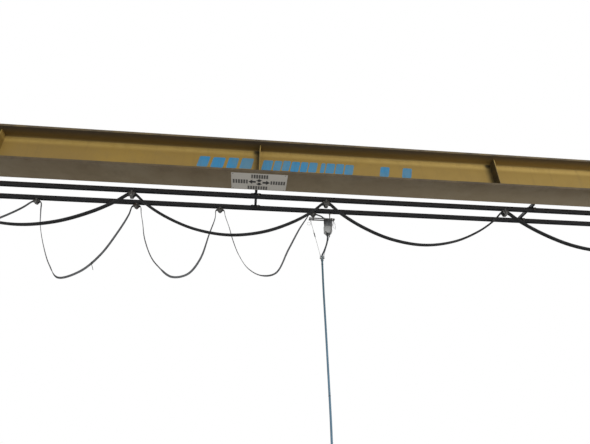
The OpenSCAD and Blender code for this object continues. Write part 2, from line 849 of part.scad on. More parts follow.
module pendant_trolley() {
    bar_mid = (pendant_saddle_x + pendant_carrier_x) / 2;
    saddle_bottom = track_bottom - clamp_drop - clamp_t - pendant_cable_t - saddle_depth;
    color("slategray") on_bridge() translate([0, pendant_track_y, 0]) {
        translate([pendant_saddle_x, 0, 0]) {
            trolley_carriage();
            cable_saddle(pendant_cable_w, pendant_cable_t);
        }
        translate([pendant_carrier_x, 0, 0]) {
            trolley_carriage();
            translate([-5, -5, bar_z]) cube([10, 10, track_bottom - clamp_drop - bar_z]);
        }
        for (side = [-1, 1])
            translate([bar_mid - pendant_bar_len / 2, side * (bar_y_in + bar_t / 2) - bar_t / 2, bar_z])
                cube([pendant_bar_len, bar_t, bar_h]);
        cross_block(pendant_saddle_x, 16, bar_z, saddle_bottom + 1);
        cross_block(pendant_carrier_x, 10, bar_z, bar_z + bar_h);
        for (side = [-1, 1]) {
            cross_block(bar_mid + side * (pendant_bar_len / 2 - 5), 10, bar_z, bar_z + bar_h);
            translate([bar_mid + side * (pendant_bar_len / 2 - 8), eye_y, bar_z - 4]) rotate([90, 0, 0])
                rotate_extrude() translate([eye_r, 0]) circle(4, $fn = 16);
            translate([bar_mid + side * (pendant_bar_len / 2 - 8), (eye_y - bar_y_in) / 2, bar_z - 4 + eye_r])
                bar_y(4, bar_y_in - eye_y);
        }
    }
}

// Outline of the junction box with cut lower corners, seen along the bridge's travel
module box_outline(w, h) {
    polygon([[-w / 2 + 6, 0], [w / 2 - 6, 0], [w / 2, -6], [w / 2, -h + box_cut], [w / 2 - box_cut, -h],
             [-w / 2 + box_cut, -h], [-w / 2, -h + box_cut], [-w / 2, -6]]);
}

module junction_box() {
    box_front = pendant_box_y - box_d / 2;
    plate_top = bar_z + bar_h;
    color("silver") on_bridge() translate([pendant_box_x, pendant_track_y, 0]) {
        translate([0, pendant_box_y, pendant_box_top]) along_y(box_d) box_outline(box_w, box_h);
        translate([0, box_front - box_lid_t / 2, pendant_box_top - box_plate_lap - 4])
            along_y(box_lid_t) box_outline(box_w - 8, box_h - box_plate_lap - 8);
        difference() {
            translate([-box_plate_w / 2, box_front - box_plate_t, pendant_box_top - box_plate_lap])
                cube([box_plate_w, box_plate_t, plate_top - pendant_box_top + box_plate_lap]);
            translate([pendant_carrier_x - pendant_box_x - box_plate_slot / 2, box_front - box_plate_t - 1,
                       bar_z - 2])
                cube([box_plate_slot, box_plate_t + 2, bar_h + 3]);
        }
    }
    color("dimgray") on_bridge() translate([0, pendant_track_y, 0]) {
        translate([lead_x, 0, pendant_box_top - box_h - gland_drop]) cylinder(r = lead_gland_r, h = gland_drop);
        translate([pendant_gland_x, 0, pendant_box_top]) cylinder(r = 13, h = pendant_gland_top - pendant_box_top);
    }
}

module wire_between(a, b, r) {
    d = b - a;
    translate(a) rotate([0, atan2(norm([d[0], d[1]]), d[2]), atan2(d[1], d[0])])
        cylinder(r = r, h = norm(d), $fn = 16);
}

module strain_wires() {
    bar_mid = (pendant_saddle_x + pendant_carrier_x) / 2;
    color("silver") on_bridge() translate([0, pendant_track_y, 0])
        for (side = [-1, 1]) {
            a = [bar_mid + side * (pendant_bar_len / 2 - 8), eye_y, bar_z - 17];
            b = [strain_clamp_x + side * 17, ear_y, strain_clamp_top + 6];
            wire_between(a, b, wire_r);
            wire_between(a + wire_fitting_from * (b - a), a + wire_fitting_to * (b - a), wire_fitting_r);
        }
}

module strain_clamp() {
    color("dimgray") on_bridge() translate([strain_clamp_x, pendant_track_y, strain_clamp_top - strain_clamp_len]) {
        cylinder(r = strain_clamp_r, h = strain_clamp_len);
        for (side = [-1, 1])
            translate([side * (strain_clamp_r + 2) - 5, ear_y - 4, strain_clamp_len / 2])
                cube([10, 12, strain_clamp_len / 2 + 8]);
    }
}

// Push button station

module push_button_station() {
    color("gold") on_bridge() translate([station_x, pendant_track_y, station_top - station_h]) {
        linear_extrude(height = station_h) rounded_rect(station_w, station_d, 14);
        translate([0, 0, station_h]) cylinder(r1 = 24, r2 = 14, h = 70);
    }
}

module push_buttons() {
    color("black") on_bridge() translate([station_x, pendant_track_y - station_d / 2, station_top])
        for (row = [0:2], col = [-1, 1])
            translate([col * 18, 0, -150 - row * 75]) rotate([90, 0, 0]) cylinder(r = button_r, h = 9);
    color("red") on_bridge() translate([station_x, pendant_track_y - station_d / 2, station_top - 60])
        rotate([90, 0, 0]) {
            cylinder(r = 10, h = 14);
            translate([0, 0, 14]) cylinder(r = 20, h = 10);
        }
}

// Cables

// Route over a row of trolleys: saddle, loop, saddle and so on
function festoon_route(feed, xs, z, drops, shapes, tail) =
    concat(feed,
           join([for (i = [0:len(xs) - 2])
               concat(saddle_points(xs[i], z), loop_points(xs[i], xs[i + 1], z, drops[i], shapes[i]))]),
           saddle_points(xs[len(xs) - 1], z), tail);

module hoist_festoon_cable() {
    shapes = [for (d = hoist_loop_drops) shallow_loop];
    route = festoon_route(hoist_feed, hoist_trolley_xs, hoist_cable_z, hoist_loop_drops, shapes, hoist_tail);
    color("black") on_bridge()
        for (side = [-1, 1])
            cable_tube(route, hoist_track_y, hoist_cable_w / 2, hoist_cable_t / 2,
                       side * (hoist_cable_t + hoist_cable_gap) / 2);
}

module pendant_festoon_cable() {
    xs = concat(pendant_trolley_xs, [pendant_saddle_x]);
    shapes = concat([shallow_loop, shallow_loop], deep_loops);
    route = festoon_route(pendant_feed, xs, pendant_cable_z, pendant_loop_drops, shapes, pendant_tail);
    color("black") on_bridge() cable_tube(route, pendant_track_y, pendant_cable_w / 2, pendant_cable_t / 2);
}

module pendant_lead() {
    color("black") on_bridge() cable_tube(lead_route, pendant_track_y, lead_r, lead_r);
}

module pendant_cable() {
    color("steelblue") on_bridge() cable_tube(pendant_route, pendant_track_y, pendant_cord_r, pendant_cord_r);
}

runway_beam_left();
runway_beam_right();
runway_rails();
runway_stops();
girder();
web_stiffeners();
girder_end_plates();
end_carriage_left();
end_carriage_right();
travel_wheels();
wheel_axles();
travel_drive_left();
travel_drive_right();
buffers();
hoist_trolley_frame();
hoist_trolley_wheels();
hoist_frame();
rope_drum();
hoist_motor();
hoist_gearbox();
hoist_control_box();
hoist_rope();
hook_block();
bottom_sheave();
lifting_hook();
control_cabinet();
track_arms();
track_brackets();
hoist_cable_track();
pendant_cable_track();
track_end_caps();
hoist_cable_trolleys();
pendant_cable_trolleys();
pendant_trolley();
junction_box();
strain_wires();
strain_clamp();
push_button_station();
push_buttons();
hoist_festoon_cable();
pendant_festoon_cable();
pendant_lead();
pendant_cable();
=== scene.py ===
import math
import random
from itertools import product

import bmesh
import bpy
from mathutils import Matrix, Vector


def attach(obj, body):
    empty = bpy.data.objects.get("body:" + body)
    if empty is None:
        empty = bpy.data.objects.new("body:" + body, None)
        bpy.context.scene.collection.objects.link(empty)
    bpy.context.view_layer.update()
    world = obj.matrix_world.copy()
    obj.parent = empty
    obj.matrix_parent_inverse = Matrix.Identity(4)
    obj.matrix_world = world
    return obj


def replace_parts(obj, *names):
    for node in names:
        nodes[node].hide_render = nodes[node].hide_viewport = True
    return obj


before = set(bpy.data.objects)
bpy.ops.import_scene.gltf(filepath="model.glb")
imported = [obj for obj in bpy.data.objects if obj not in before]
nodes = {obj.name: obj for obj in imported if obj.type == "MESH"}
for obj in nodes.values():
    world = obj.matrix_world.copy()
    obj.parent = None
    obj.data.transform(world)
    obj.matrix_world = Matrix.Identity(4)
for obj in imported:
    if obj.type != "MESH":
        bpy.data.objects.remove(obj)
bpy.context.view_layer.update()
rnd = random.Random(11)

# Sizes shared with the CAD, in millimetres; x counts from mid span, z from the girder's underside

SPAN, BAY = 12300.0, 2460
MID_X, GIRDER_Z = SPAN / 2, 560.0
WEB_T, FLANGE_T, GIRDER_H, GIRDER_END = 13.5, 24.0, 400.0, 6299
HOIST_X, HOIST_Y, PENDANT_Y = 4750, 267.0, 490.0
ARM_XS, CABINET_ARM_XS = (-5330, -3019, -19, 2981, 5330), (-5870, -5550)
CARRIAGE_END, WHEEL_Y, AXLE_Z = 1160, 950, -169.7
DRUM_Y, DRUM_Z, FALL_Y, SHEAVE_Z, HOOK_Z = -210, -330, 100, -890, -1170
CABINET_X, STATION_X, STATION_TOP, JUNCTION_X = -5710, 690, -2790, 760
CARRIER_XS, CARRIER_MID, CARRIER_Z, EYE_DX, CLAMP_X, CLAMP_FOOT = (605, 785), 695, -105, 127, 681, -600
BOTH = (-1, 1)
X, Y, Z = Vector((1, 0, 0)), Vector((0, 1, 0)), Vector((0, 0, 1))


def P(x, y, z):
    """A point in metres from millimetres measured at mid span on the girder's underside."""
    return Vector(((MID_X + x) / 1000, y / 1000, (GIRDER_Z + z) / 1000))


def H(x, y, z):
    """The same, with x measured from the middle of the hoist."""
    return P(HOIST_X + x, y, z)


def camera():
    """The photograph's view, solved from the girder and the tracks."""
    focal_px, width_px = 446.6, 590.0
    pitch, yaw, roll = math.radians(30.94), math.radians(6.30), math.radians(-0.65)
    at = P(-40, -3560, -2595)
    forward = Vector((math.sin(yaw) * math.cos(pitch), math.cos(yaw) * math.cos(pitch), math.sin(pitch)))
    level = Vector((math.cos(yaw), -math.sin(yaw), 0))
    above = level.cross(forward)
    right = math.cos(roll) * level + math.sin(roll) * above
    up = -math.sin(roll) * level + math.cos(roll) * above
    data = bpy.data.cameras.new("camera")
    data.sensor_width = 36
    data.lens = 36 * focal_px / width_px
    data.clip_start, data.clip_end = 0.05, 200
    cam = bpy.data.objects.new("camera", data)
    cam.matrix_world = Matrix((
        (right.x, up.x, -forward.x, at.x),
        (right.y, up.y, -forward.y, at.y),
        (right.z, up.z, -forward.z, at.z),
        (0, 0, 0, 1)))
    bpy.context.scene.collection.objects.link(cam)
    bpy.context.scene.camera = cam


camera()


# Material helpers

def node(tree, kind, inputs=None, **attrs):
    """Adds a node; each input is linked to a value or a socket, or set to a constant."""
    made = tree.nodes.new(kind)
    for key, value in attrs.items():
        setattr(made, key, value)
    for key, value in (inputs or {}).items():
        put(tree, made.inputs[key], value)
    return made


def put(tree, socket, value):
    source = value.socket if isinstance(value, Value) else value
    if isinstance(source, bpy.types.NodeSocket):
        tree.links.new(source, socket)
    else:
        socket.default_value = (*source, 1.0) if socket.type == "RGBA" and len(source) == 3 else source


class Value:
    """A node's output, for sums and products with numbers or other values."""

    def __init__(self, tree, socket):
        self.tree, self.socket = tree, socket

    def math(self, op, other=0.0):
        made = node(self.tree, "ShaderNodeMath", {0: self, 1: other}, operation=op)
        return Value(self.tree, made.outputs[0])

    def __mul__(self, other):
        return self.math("MULTIPLY", other)

    def __add__(self, other):
        return self.math("ADD", other)

    def step(self, low, high, to_low=0.0, to_high=1.0):
        return Value(self.tree, node(self.tree, "ShaderNodeMapRange", {
            "Value": self, "From Min": low, "From Max": high, "To Min": to_low, "To Max": to_high},
            interpolation_type="SMOOTHSTEP").outputs[0])


class Shade:
    """A material under construction; its colour starts plain and other colours are blended over it."""

    def __init__(self, name, color):
        self.mat = bpy.data.materials.new(name)
        self.mat.use_nodes = True
        self.tree, self.color = self.mat.node_tree, color
        self.tree.nodes.clear()
        self.bsdf = node(self.tree, "ShaderNodeBsdfPrincipled")
        node(self.tree, "ShaderNodeOutputMaterial", {"Surface": self.bsdf.outputs[0]})
        self.coord = node(self.tree, "ShaderNodeTexCoord").outputs["Object"]

    def value(self, kind, inputs, output, **attrs):
        return Value(self.tree, node(self.tree, kind, inputs, **attrs).outputs[output])

    def noise(self, scale, detail=4.0, rough=0.55, stretch=None, distort=0.0):
        at = self.coord
        if stretch:
            at = node(self.tree, "ShaderNodeMapping", {"Vector": at, "Scale": stretch}).outputs[0]
        return self.value("ShaderNodeTexNoise", {
            "Vector": at, "Scale": scale, "Detail": detail, "Roughness": rough, "Distortion": distort}, "Fac")

    def axis(self, which):
        return self.value("ShaderNodeSeparateXYZ", {0: self.coord}, which)

    def normal(self, which):
        true = node(self.tree, "ShaderNodeNewGeometry").outputs["Normal"]
        return self.value("ShaderNodeSeparateXYZ", {0: true}, which)

    def worn_edge(self, radius):
        """One along outer and inner edges, for chips and grime."""
        rounded_normal = node(self.tree, "ShaderNodeBevel", {"Radius": radius}, samples=4).outputs[0]
        true = node(self.tree, "ShaderNodeNewGeometry").outputs["Normal"]
        return self.value("ShaderNodeVectorMath", {0: rounded_normal, 1: true}, "Value",
                          operation="DOT_PRODUCT").step(0.985, 0.90)

    def mix(self, share, a, b):
        made = node(self.tree, "ShaderNodeMix", data_type="RGBA")
        for key, value in (("Factor", share), ("A", a), ("B", b)):
            put(self.tree, next(s for s in made.inputs if s.name == key and s.enabled), value)
        return next(s for s in made.outputs if s.enabled)

    def blend(self, share, color):
        self.color = self.mix(share, self.color, color)

    def finish(self, rough, bump=None, strength=0.3, distance=0.001, metal=0.0, specular=0.5, soft=0.0012,
               coat=0.0):
        """Sets the surface, with a bump over edges that are rounded by the soft radius."""
        for key, value in (("Base Color", self.color), ("Roughness", rough), ("Metallic", metal)):
            put(self.tree, self.bsdf.inputs[key], value)
        self.bsdf.inputs["Coat Weight"].default_value = coat
        self.bsdf.inputs["Specular IOR Level"].default_value = specular
        if bump:
            rounded_normal = node(self.tree, "ShaderNodeBevel", {"Radius": soft}, samples=4).outputs[0]
            made = node(self.tree, "ShaderNodeBump", {
                "Height": bump, "Strength": strength, "Distance": distance, "Normal": rounded_normal})
            put(self.tree, self.bsdf.inputs["Normal"], made.outputs[0])
        return self.mat


DUST = (0.30, 0.27, 0.22)
RUST = (0.16, 0.06, 0.025)


def paint(name, base, worn, under, rough=0.45, chips=0.0, dust=0.5, streak=0.35, scale=1.0, coat=0.0):
    """Old paint on steel: faded patches, run marks, dust on top, grime and painted shade below, and small
    chips.
    """
    s = Shade(name, base)
    mid = s.noise(11 * scale, 6, 0.62)
    s.blend(s.noise(0.9 * scale, 5, 0.6).step(0.36, 0.66), worn)
    s.blend(mid.step(0.45, 0.75) * 0.35, worn)
    runs = s.noise(7 * scale, 5, 0.6, (1.6, 1.6, 0.22), 0.4)
    s.blend(runs.step(0.52, 0.72) * streak, [c * 0.42 for c in worn])
    level = s.normal("Z")
    # Downward faces take the under colour: grime and painted shade
    s.blend(level.step(-0.35, -0.85) * mid.step(0.1, 0.6, 0.72, 1.0), under)
    s.blend(level.step(0.55, 0.95) * mid.step(0.3, 0.6, 0.35, 1.0) * dust, DUST)
    if chips:
        s.blend(s.noise(46 * scale, 9, 0.72).step(0.70, 0.725) * chips, RUST)
        edge = s.worn_edge(0.0035) * chips
        s.blend(edge * s.noise(38 * scale, 6, 0.7).step(0.46, 0.56), (0.13, 0.075, 0.045))
    return s.finish(mid.step(0.3, 0.7, rough - 0.08, rough + 0.14), s.noise(230, 3) * 0.35 + mid * 0.65, 0.35,
                    0.0012, 0.0, 0.3, 0.002, coat)


def metal(name, base, rough=0.4, rust=0.0, brushed=(1, 1, 1), dust=0.25, shade=0.6, metallic=1.0):
    """Bare or plated steel with cloudy patches, fine marks and rust in places."""
    s = Shade(name, base)
    cloud, marks = s.noise(22, 5, 0.6), s.noise(160, 4, 0.6, brushed)
    s.blend(cloud.step(0.35, 0.7), [c * shade for c in base])
    rusty = s.noise(13, 8, 0.7).step(0.62 - 0.2 * rust, 0.72 - 0.1 * rust)
    s.blend(rusty * min(1.0, rust * 1.6), RUST)
    s.blend(s.normal("Z").step(0.6, 0.95) * dust, DUST)
    return s.finish(marks.step(0.3, 0.7, rough - 0.1, rough + 0.14), marks + cloud * 0.5, 0.22, 0.0006,
                    metallic)


def plastic(name, base, rough=0.5, dust=0.3, fade=0.75, grain=320.0, specular=0.4):
    """Moulded plastic or rubber: fine grain, faded patches, and dust that settled on top."""
    s = Shade(name, base)
    cloud = s.noise(9, 5, 0.6)
    s.blend(cloud.step(0.35, 0.7), [c * fade for c in base])
    scuff = s.noise(70, 7, 0.7, (1, 1, 0.35)).step(0.60, 0.75)
    s.blend(scuff * 0.22, [min(1, c * 1.5 + 0.03) for c in base])
    s.blend(s.normal("Z").step(0.3, 0.95) * cloud.step(0.25, 0.6, 0.4, 1.0) * dust, DUST)
    return s.finish(cloud.step(0.3, 0.7, rough - 0.07, rough + 0.12), s.noise(grain, 3, 0.5), 0.2, 0.0004,
                    0.0,
                    specular, 0.0008)


def blue_cable(name):
    """Sheath of the control cable: teal near the crane, paler and bluer lower down, with grey scuffs."""
    s = Shade(name, (0.045, 0.100, 0.128))
    cloud = s.noise(9, 5, 0.6)
    s.blend(s.axis("Z").step(-0.05, -1.3), (0.110, 0.205, 0.285))
    s.blend(cloud.step(0.38, 0.7) * 0.35, (0.085, 0.130, 0.160))
    s.blend(s.noise(60, 7, 0.7, (1, 1, 0.2)).step(0.58, 0.74) * 0.3, (0.17, 0.22, 0.25))
    return s.finish(cloud.step(0.3, 0.7, 0.45, 0.6), s.noise(420, 3, 0.5), 0.2, 0.0004, 0.0, 0.3, 0.0008)


def girder_paint(name):
    """Faded mustard paint, dark on the flange edges and brown underneath, with painted light and shade: a
    painted highlight below the top flange, lighter towards the right end, painted shadows by the stiffeners
    and painted shade under the top flange.
    """
    s = Shade(name, (0.285, 0.183, 0.040))
    mid, x, z = s.noise(8, 6, 0.62), s.axis("X"), s.axis("Z")
    across, level = s.axis("Y").math("ABSOLUTE"), s.normal("Z")

    def uneven(low, high):
        return mid.step(0.2, 0.7, low, high)

    s.blend(s.noise(0.8, 5, 0.6).step(0.34, 0.68), (0.245, 0.158, 0.042))
    s.blend(mid.step(0.42, 0.72) * 0.35, (0.22, 0.150, 0.055))
    # Painted light: along makes the paint lighter towards the right end, here and in the colours below
    along = x.step(5.8, 9.6)
    s.blend(along * 0.5, (0.345, 0.225, 0.052))
    # Painted highlight along the top of the web below the top flange, stronger towards the right end
    s.blend(z.step(0.84, 0.905) * uneven(0.6, 1.0), s.mix(along, (0.44, 0.300, 0.086), (0.60, 0.415, 0.125)))
    s.blend(s.noise(6, 5, 0.62, (2.2, 2.2, 0.2), 0.5).step(0.52, 0.78) * 0.24, (0.125, 0.085, 0.036))
    drips = s.noise(26, 3, 0.5, (1, 1, 0.05), 0.2).step(0.60, 0.78)
    s.blend(drips * s.noise(1.9, 3, 0.5).step(0.46, 0.62, 0.02, 0.07), (0.11, 0.070, 0.032))
    # Painted shadows left of each stiffener and in the corner under the flange, and painted shade on the
    # stiffeners' left faces
    bay = x.math("SUBTRACT", MID_X / 1000).math("DIVIDE", BAY / 1000).math("FRACT")
    on_web = s.normal("Y").math("ABSOLUTE").step(0.5, 0.9)
    s.blend(bay.step(0.962, 0.998) * on_web * uneven(0.5, 0.8), (0.085, 0.066, 0.030))
    s.blend(z.step(0.86, 0.91) * bay.step(0.968, 0.984, 0.0, 0.85) * on_web, (0.030, 0.024, 0.010))
    s.blend(s.normal("X").step(-0.5, -0.9) * x.step(0.6, 1.0) * uneven(0.75, 0.95), (0.052, 0.042, 0.024))
    # Darker towards the foot of the web, above the bottom flange
    s.blend(z.step(0.640, 0.588) * uneven(0.35, 1.0) * 0.55, (0.125, 0.090, 0.048))
    # Undersides: brown below, with painted light and shade across it; painted shade under the top flange, with
    # painted bounce light that makes it yellower near the web
    patch = s.mix(s.noise(1.7, 6, 0.65).step(0.35, 0.68), (0.185, 0.137, 0.076), (0.232, 0.187, 0.119))
    patch = s.mix(mid.step(0.45, 0.75) * 0.4, patch, (0.105, 0.078, 0.048))
    # Painted light and shade across the bottom flange's underside: darker at its -y edge, lighter at its +y
    # edge and towards the right end
    underside_light = s.axis("Y").step(-0.15, 0.13) * (along * 0.5 + 0.35)
    patch = s.mix(underside_light, s.mix(0.25, patch, (0.13, 0.10, 0.062)), (0.325, 0.258, 0.165))
    # The top flange's underside: painted bounce light near the web, painted shade further out, both lighter
    # towards the right end
    near = s.mix(along, (0.175, 0.116, 0.036), (0.300, 0.200, 0.062))
    soffit_shade_and_bounce = s.mix(across.step(0.03, 0.15), near, s.mix(along, (0.082, 0.067, 0.052), (0.120, 0.092, 0.058)))
    s.blend(level.step(-0.35, -0.85), s.mix(z.step(0.75, 0.85), patch, soffit_shade_and_bounce))
    s.blend(across.step(0.1488, 0.1496) * uneven(0.75, 1.0), (0.072, 0.055, 0.034))
    s.blend(level.step(0.55, 0.95) * mid.step(0.3, 0.6, 0.5, 1.0) * 0.75, (0.20, 0.165, 0.12))
    s.blend(s.noise(40, 9, 0.72).step(0.69, 0.715) * 0.7, (0.12, 0.062, 0.034))
    s.blend(s.worn_edge(0.004) * 0.7 * s.noise(34, 6, 0.7).step(0.45, 0.56), (0.10, 0.060, 0.036))
    return s.finish(mid.step(0.3, 0.7, 0.46, 0.66), s.noise(260, 3) * 0.3 + mid * 0.7, 0.35, 0.0012, 0.0,
                    0.2, 0.003)


def track_paint(name):
    """Dark blue-grey paint on the C-shaped tracks, darker along their top and bottom edges, with painted shade
    on their undersides.
    """
    s = Shade(name, (0.044, 0.047, 0.055))
    mid, z = s.noise(14, 6, 0.62), s.axis("Z")
    s.blend(s.noise(1.3, 5, 0.6).step(0.36, 0.66), (0.052, 0.052, 0.055))
    s.blend(mid.step(0.48, 0.75) * 0.5, (0.068, 0.062, 0.058))
    s.blend((z.step(0.570, 0.576) + z.step(0.549, 0.543)) * 0.85, (0.018, 0.020, 0.027))
    # Painted shade on the tracks' downward faces
    s.blend(s.normal("Z").step(-0.35, -0.85) * 0.8, (0.016, 0.017, 0.020))
    s.blend(s.normal("Z").step(0.55, 0.95) * mid.step(0.3, 0.6, 0.3, 0.8), (0.12, 0.105, 0.085))
    s.blend(s.worn_edge(0.002) * 0.6 * s.noise(50, 6, 0.7).step(0.5, 0.6), (0.16, 0.10, 0.07))
    return s.finish(mid.step(0.3, 0.7, 0.45, 0.62), mid + s.noise(240, 3), 0.3, 0.0008, 0.0, 0.25, 0.002)


def hazard(name, dark, light, period=0.16):
    """Slanting safety stripes, worn."""
    s = Shade(name, light)
    slant = s.axis("X") + s.axis("Y") + s.axis("Z")
    mid = s.noise(18, 5, 0.6)
    s.blend(slant.math("DIVIDE", period).math("FRACT").step(0.485, 0.515), dark)
    s.blend(s.noise(30, 7, 0.7).step(0.58, 0.70) * 0.4, (0.25, 0.19, 0.10))
    return s.finish(mid.step(0.3, 0.7, 0.38, 0.6), mid)


def rope_metal(name):
    """Greasy wire rope, with strands that wind round it."""
    s = Shade(name, (0.05, 0.045, 0.04))
    strands = s.value("ShaderNodeTexWave", {"Vector": s.coord, "Scale": 38.0, "Distortion": 0.6,
                      "Detail": 2.0},
                      "Fac", bands_direction="DIAGONAL")
    s.blend(strands.step(0.2, 0.8), (0.26, 0.25, 0.23))
    return s.finish(strands.step(0.1, 0.9, 0.5, 0.36), strands, 0.6, 0.002, 0.85)


# Each look: its function, its material's name and what the function takes

M = {look: make(name, *values) for look, make, name, *values in (
    ("girder", girder_paint, "paint_girder"),
    ("carriage", paint, "paint_carriage", (0.30, 0.195, 0.042), (0.245, 0.160, 0.050), (0.15, 0.115, 0.070),
     0.48, 0.7),
    ("runway", paint, "paint_runway", (0.105, 0.125, 0.15), (0.085, 0.10, 0.115), (0.075, 0.078, 0.08), 0.5,
     0.7),
    ("rail", metal, "steel_rail", (0.34, 0.32, 0.30), 0.36, 0.7, (1, 12, 1), 0.0),
    ("wheel", metal, "iron_wheel", (0.23, 0.215, 0.20), 0.42, 0.45),
    ("axle", metal, "steel_axle", (0.52, 0.51, 0.50), 0.3, 0.15),
    ("drive", paint, "paint_drive", (0.045, 0.115, 0.20), (0.04, 0.09, 0.15), (0.04, 0.06, 0.08), 0.36, 0.5,
     0.6),
    ("drum", metal, "steel_drum", (0.36, 0.345, 0.33), 0.34, 0.25, (14, 1, 1)),
    ("grey_box", paint, "paint_grey_box", (0.46, 0.47, 0.45), (0.40, 0.40, 0.375), (0.30, 0.29, 0.27), 0.42,
     0.2, 0.5, 0.25),
    ("rope", rope_metal, "steel_rope"),
    ("block", paint, "paint_block", (0.60, 0.40, 0.035), (0.50, 0.33, 0.04), (0.35, 0.24, 0.05), 0.38, 0.7,
     0.4, 0.3, 3.0),
    ("hook", metal, "steel_hook", (0.16, 0.15, 0.145), 0.45, 0.5),
    ("arm", paint, "paint_arm", (0.030, 0.034, 0.040), (0.040, 0.042, 0.045), (0.035, 0.036, 0.038), 0.48,
     0.4, 0.5),
    ("track", track_paint, "paint_track"),
    ("zinc", metal, "steel_zinc", (0.135, 0.133, 0.130), 0.5, 0.35, (1, 1, 1), 0.3, 0.8, 0.5),
    ("zinc_dark", metal, "steel_zinc_dark", (0.115, 0.118, 0.122), 0.48, 0.3),
    ("rubber", plastic, "rubber_black", (0.022, 0.021, 0.020), 0.62, 0.35, 0.8, 200),
    ("cap", plastic, "plastic_cap", (0.020, 0.021, 0.022), 0.5, 0.4),
    ("cable", plastic, "cable_black", (0.014, 0.0145, 0.016), 0.58, 0.3, 0.8, 500, 0.3),
    ("cable_grey", plastic, "cable_dark_grey", (0.105, 0.108, 0.112), 0.58, 0.3, 0.8, 500, 0.3),
    ("lead", plastic, "lead_dark", (0.046, 0.0535, 0.060), 0.55, 0.2, 0.8, 500, 0.3),
    ("cable_blue", blue_cable, "cable_blue_grey"),
    ("junction", plastic, "plastic_grey", (0.40, 0.405, 0.395), 0.42, 0.35, 0.86),
    ("station", plastic, "plastic_yellow", (0.62, 0.42, 0.035), 0.4, 0.2, 0.88),
    ("button", plastic, "plastic_black", (0.018, 0.018, 0.019), 0.36, 0.15),
    ("red", plastic, "plastic_red", (0.42, 0.018, 0.012), 0.34, 0.1),
    ("white", plastic, "plastic_white", (0.66, 0.66, 0.63), 0.4, 0.1),
    ("sign", paint, "paint_sign", (0.57, 0.55, 0.50), (0.46, 0.44, 0.39), (0.57, 0.54, 0.485), 0.5, 0.15,
     0.3, 0.3, 4.0),
    ("ink", paint, "paint_ink", (0.022, 0.020, 0.020), (0.05, 0.046, 0.042), (0.035, 0.033, 0.032), 0.55,
     0.0, 0.2, 0.3, 6.0),
    ("ink_pale", paint, "paint_ink_pale", (0.075, 0.070, 0.064), (0.14, 0.13, 0.12), (0.10, 0.095, 0.088),
     0.55, 0.1, 0.2, 0.3, 30.0),
    ("blue_mark", paint, "paint_blue_mark", (0.028, 0.200, 0.385), (0.085, 0.20, 0.28), (0.05, 0.19, 0.3),
     0.5, 0.3, 0.2, 0.25, 3.0),
    ("stripes", hazard, "paint_stripes", (0.020, 0.019, 0.018), (0.62, 0.42, 0.03)),
    ("bolt", metal, "steel_bolt", (0.30, 0.295, 0.285), 0.42, 0.35, (1, 1, 1), 0.25, 0.6, 0.75),
    ("clamp", plastic, "plastic_clamp", (0.030, 0.031, 0.033), 0.5, 0.2),
    ("clamp_pale", plastic, "plastic_clamp_pale", (0.145, 0.180, 0.195), 0.5, 0.4),
    ("cowl", paint, "paint_cowl", (0.030, 0.033, 0.038), (0.042, 0.044, 0.048), (0.034, 0.035, 0.037), 0.45,
     0.4, 0.6),
    ("weld", metal, "steel_weld", (0.15, 0.128, 0.105), 0.55, 0.2, (1, 1, 1), 0.3, 0.7, 0.0),
)}


# Mesh helpers; places are points in metres, sizes are in millimetres

def turned_to(axis):
    return axis.normalized().to_track_quat("Z", "Y").to_matrix()


def circle(r, n, shift=0.0):
    """Points round a circle; shift starts them part of a step further on."""
    angles = [2 * math.pi * (k + shift) / n for k in range(n)]
    return [(r * math.cos(a), r * math.sin(a)) for a in angles]


def band(r0, r1, h0, h1):
    return [(r0, h0), (r1, h0), (r1, h1), (r0, h1)]


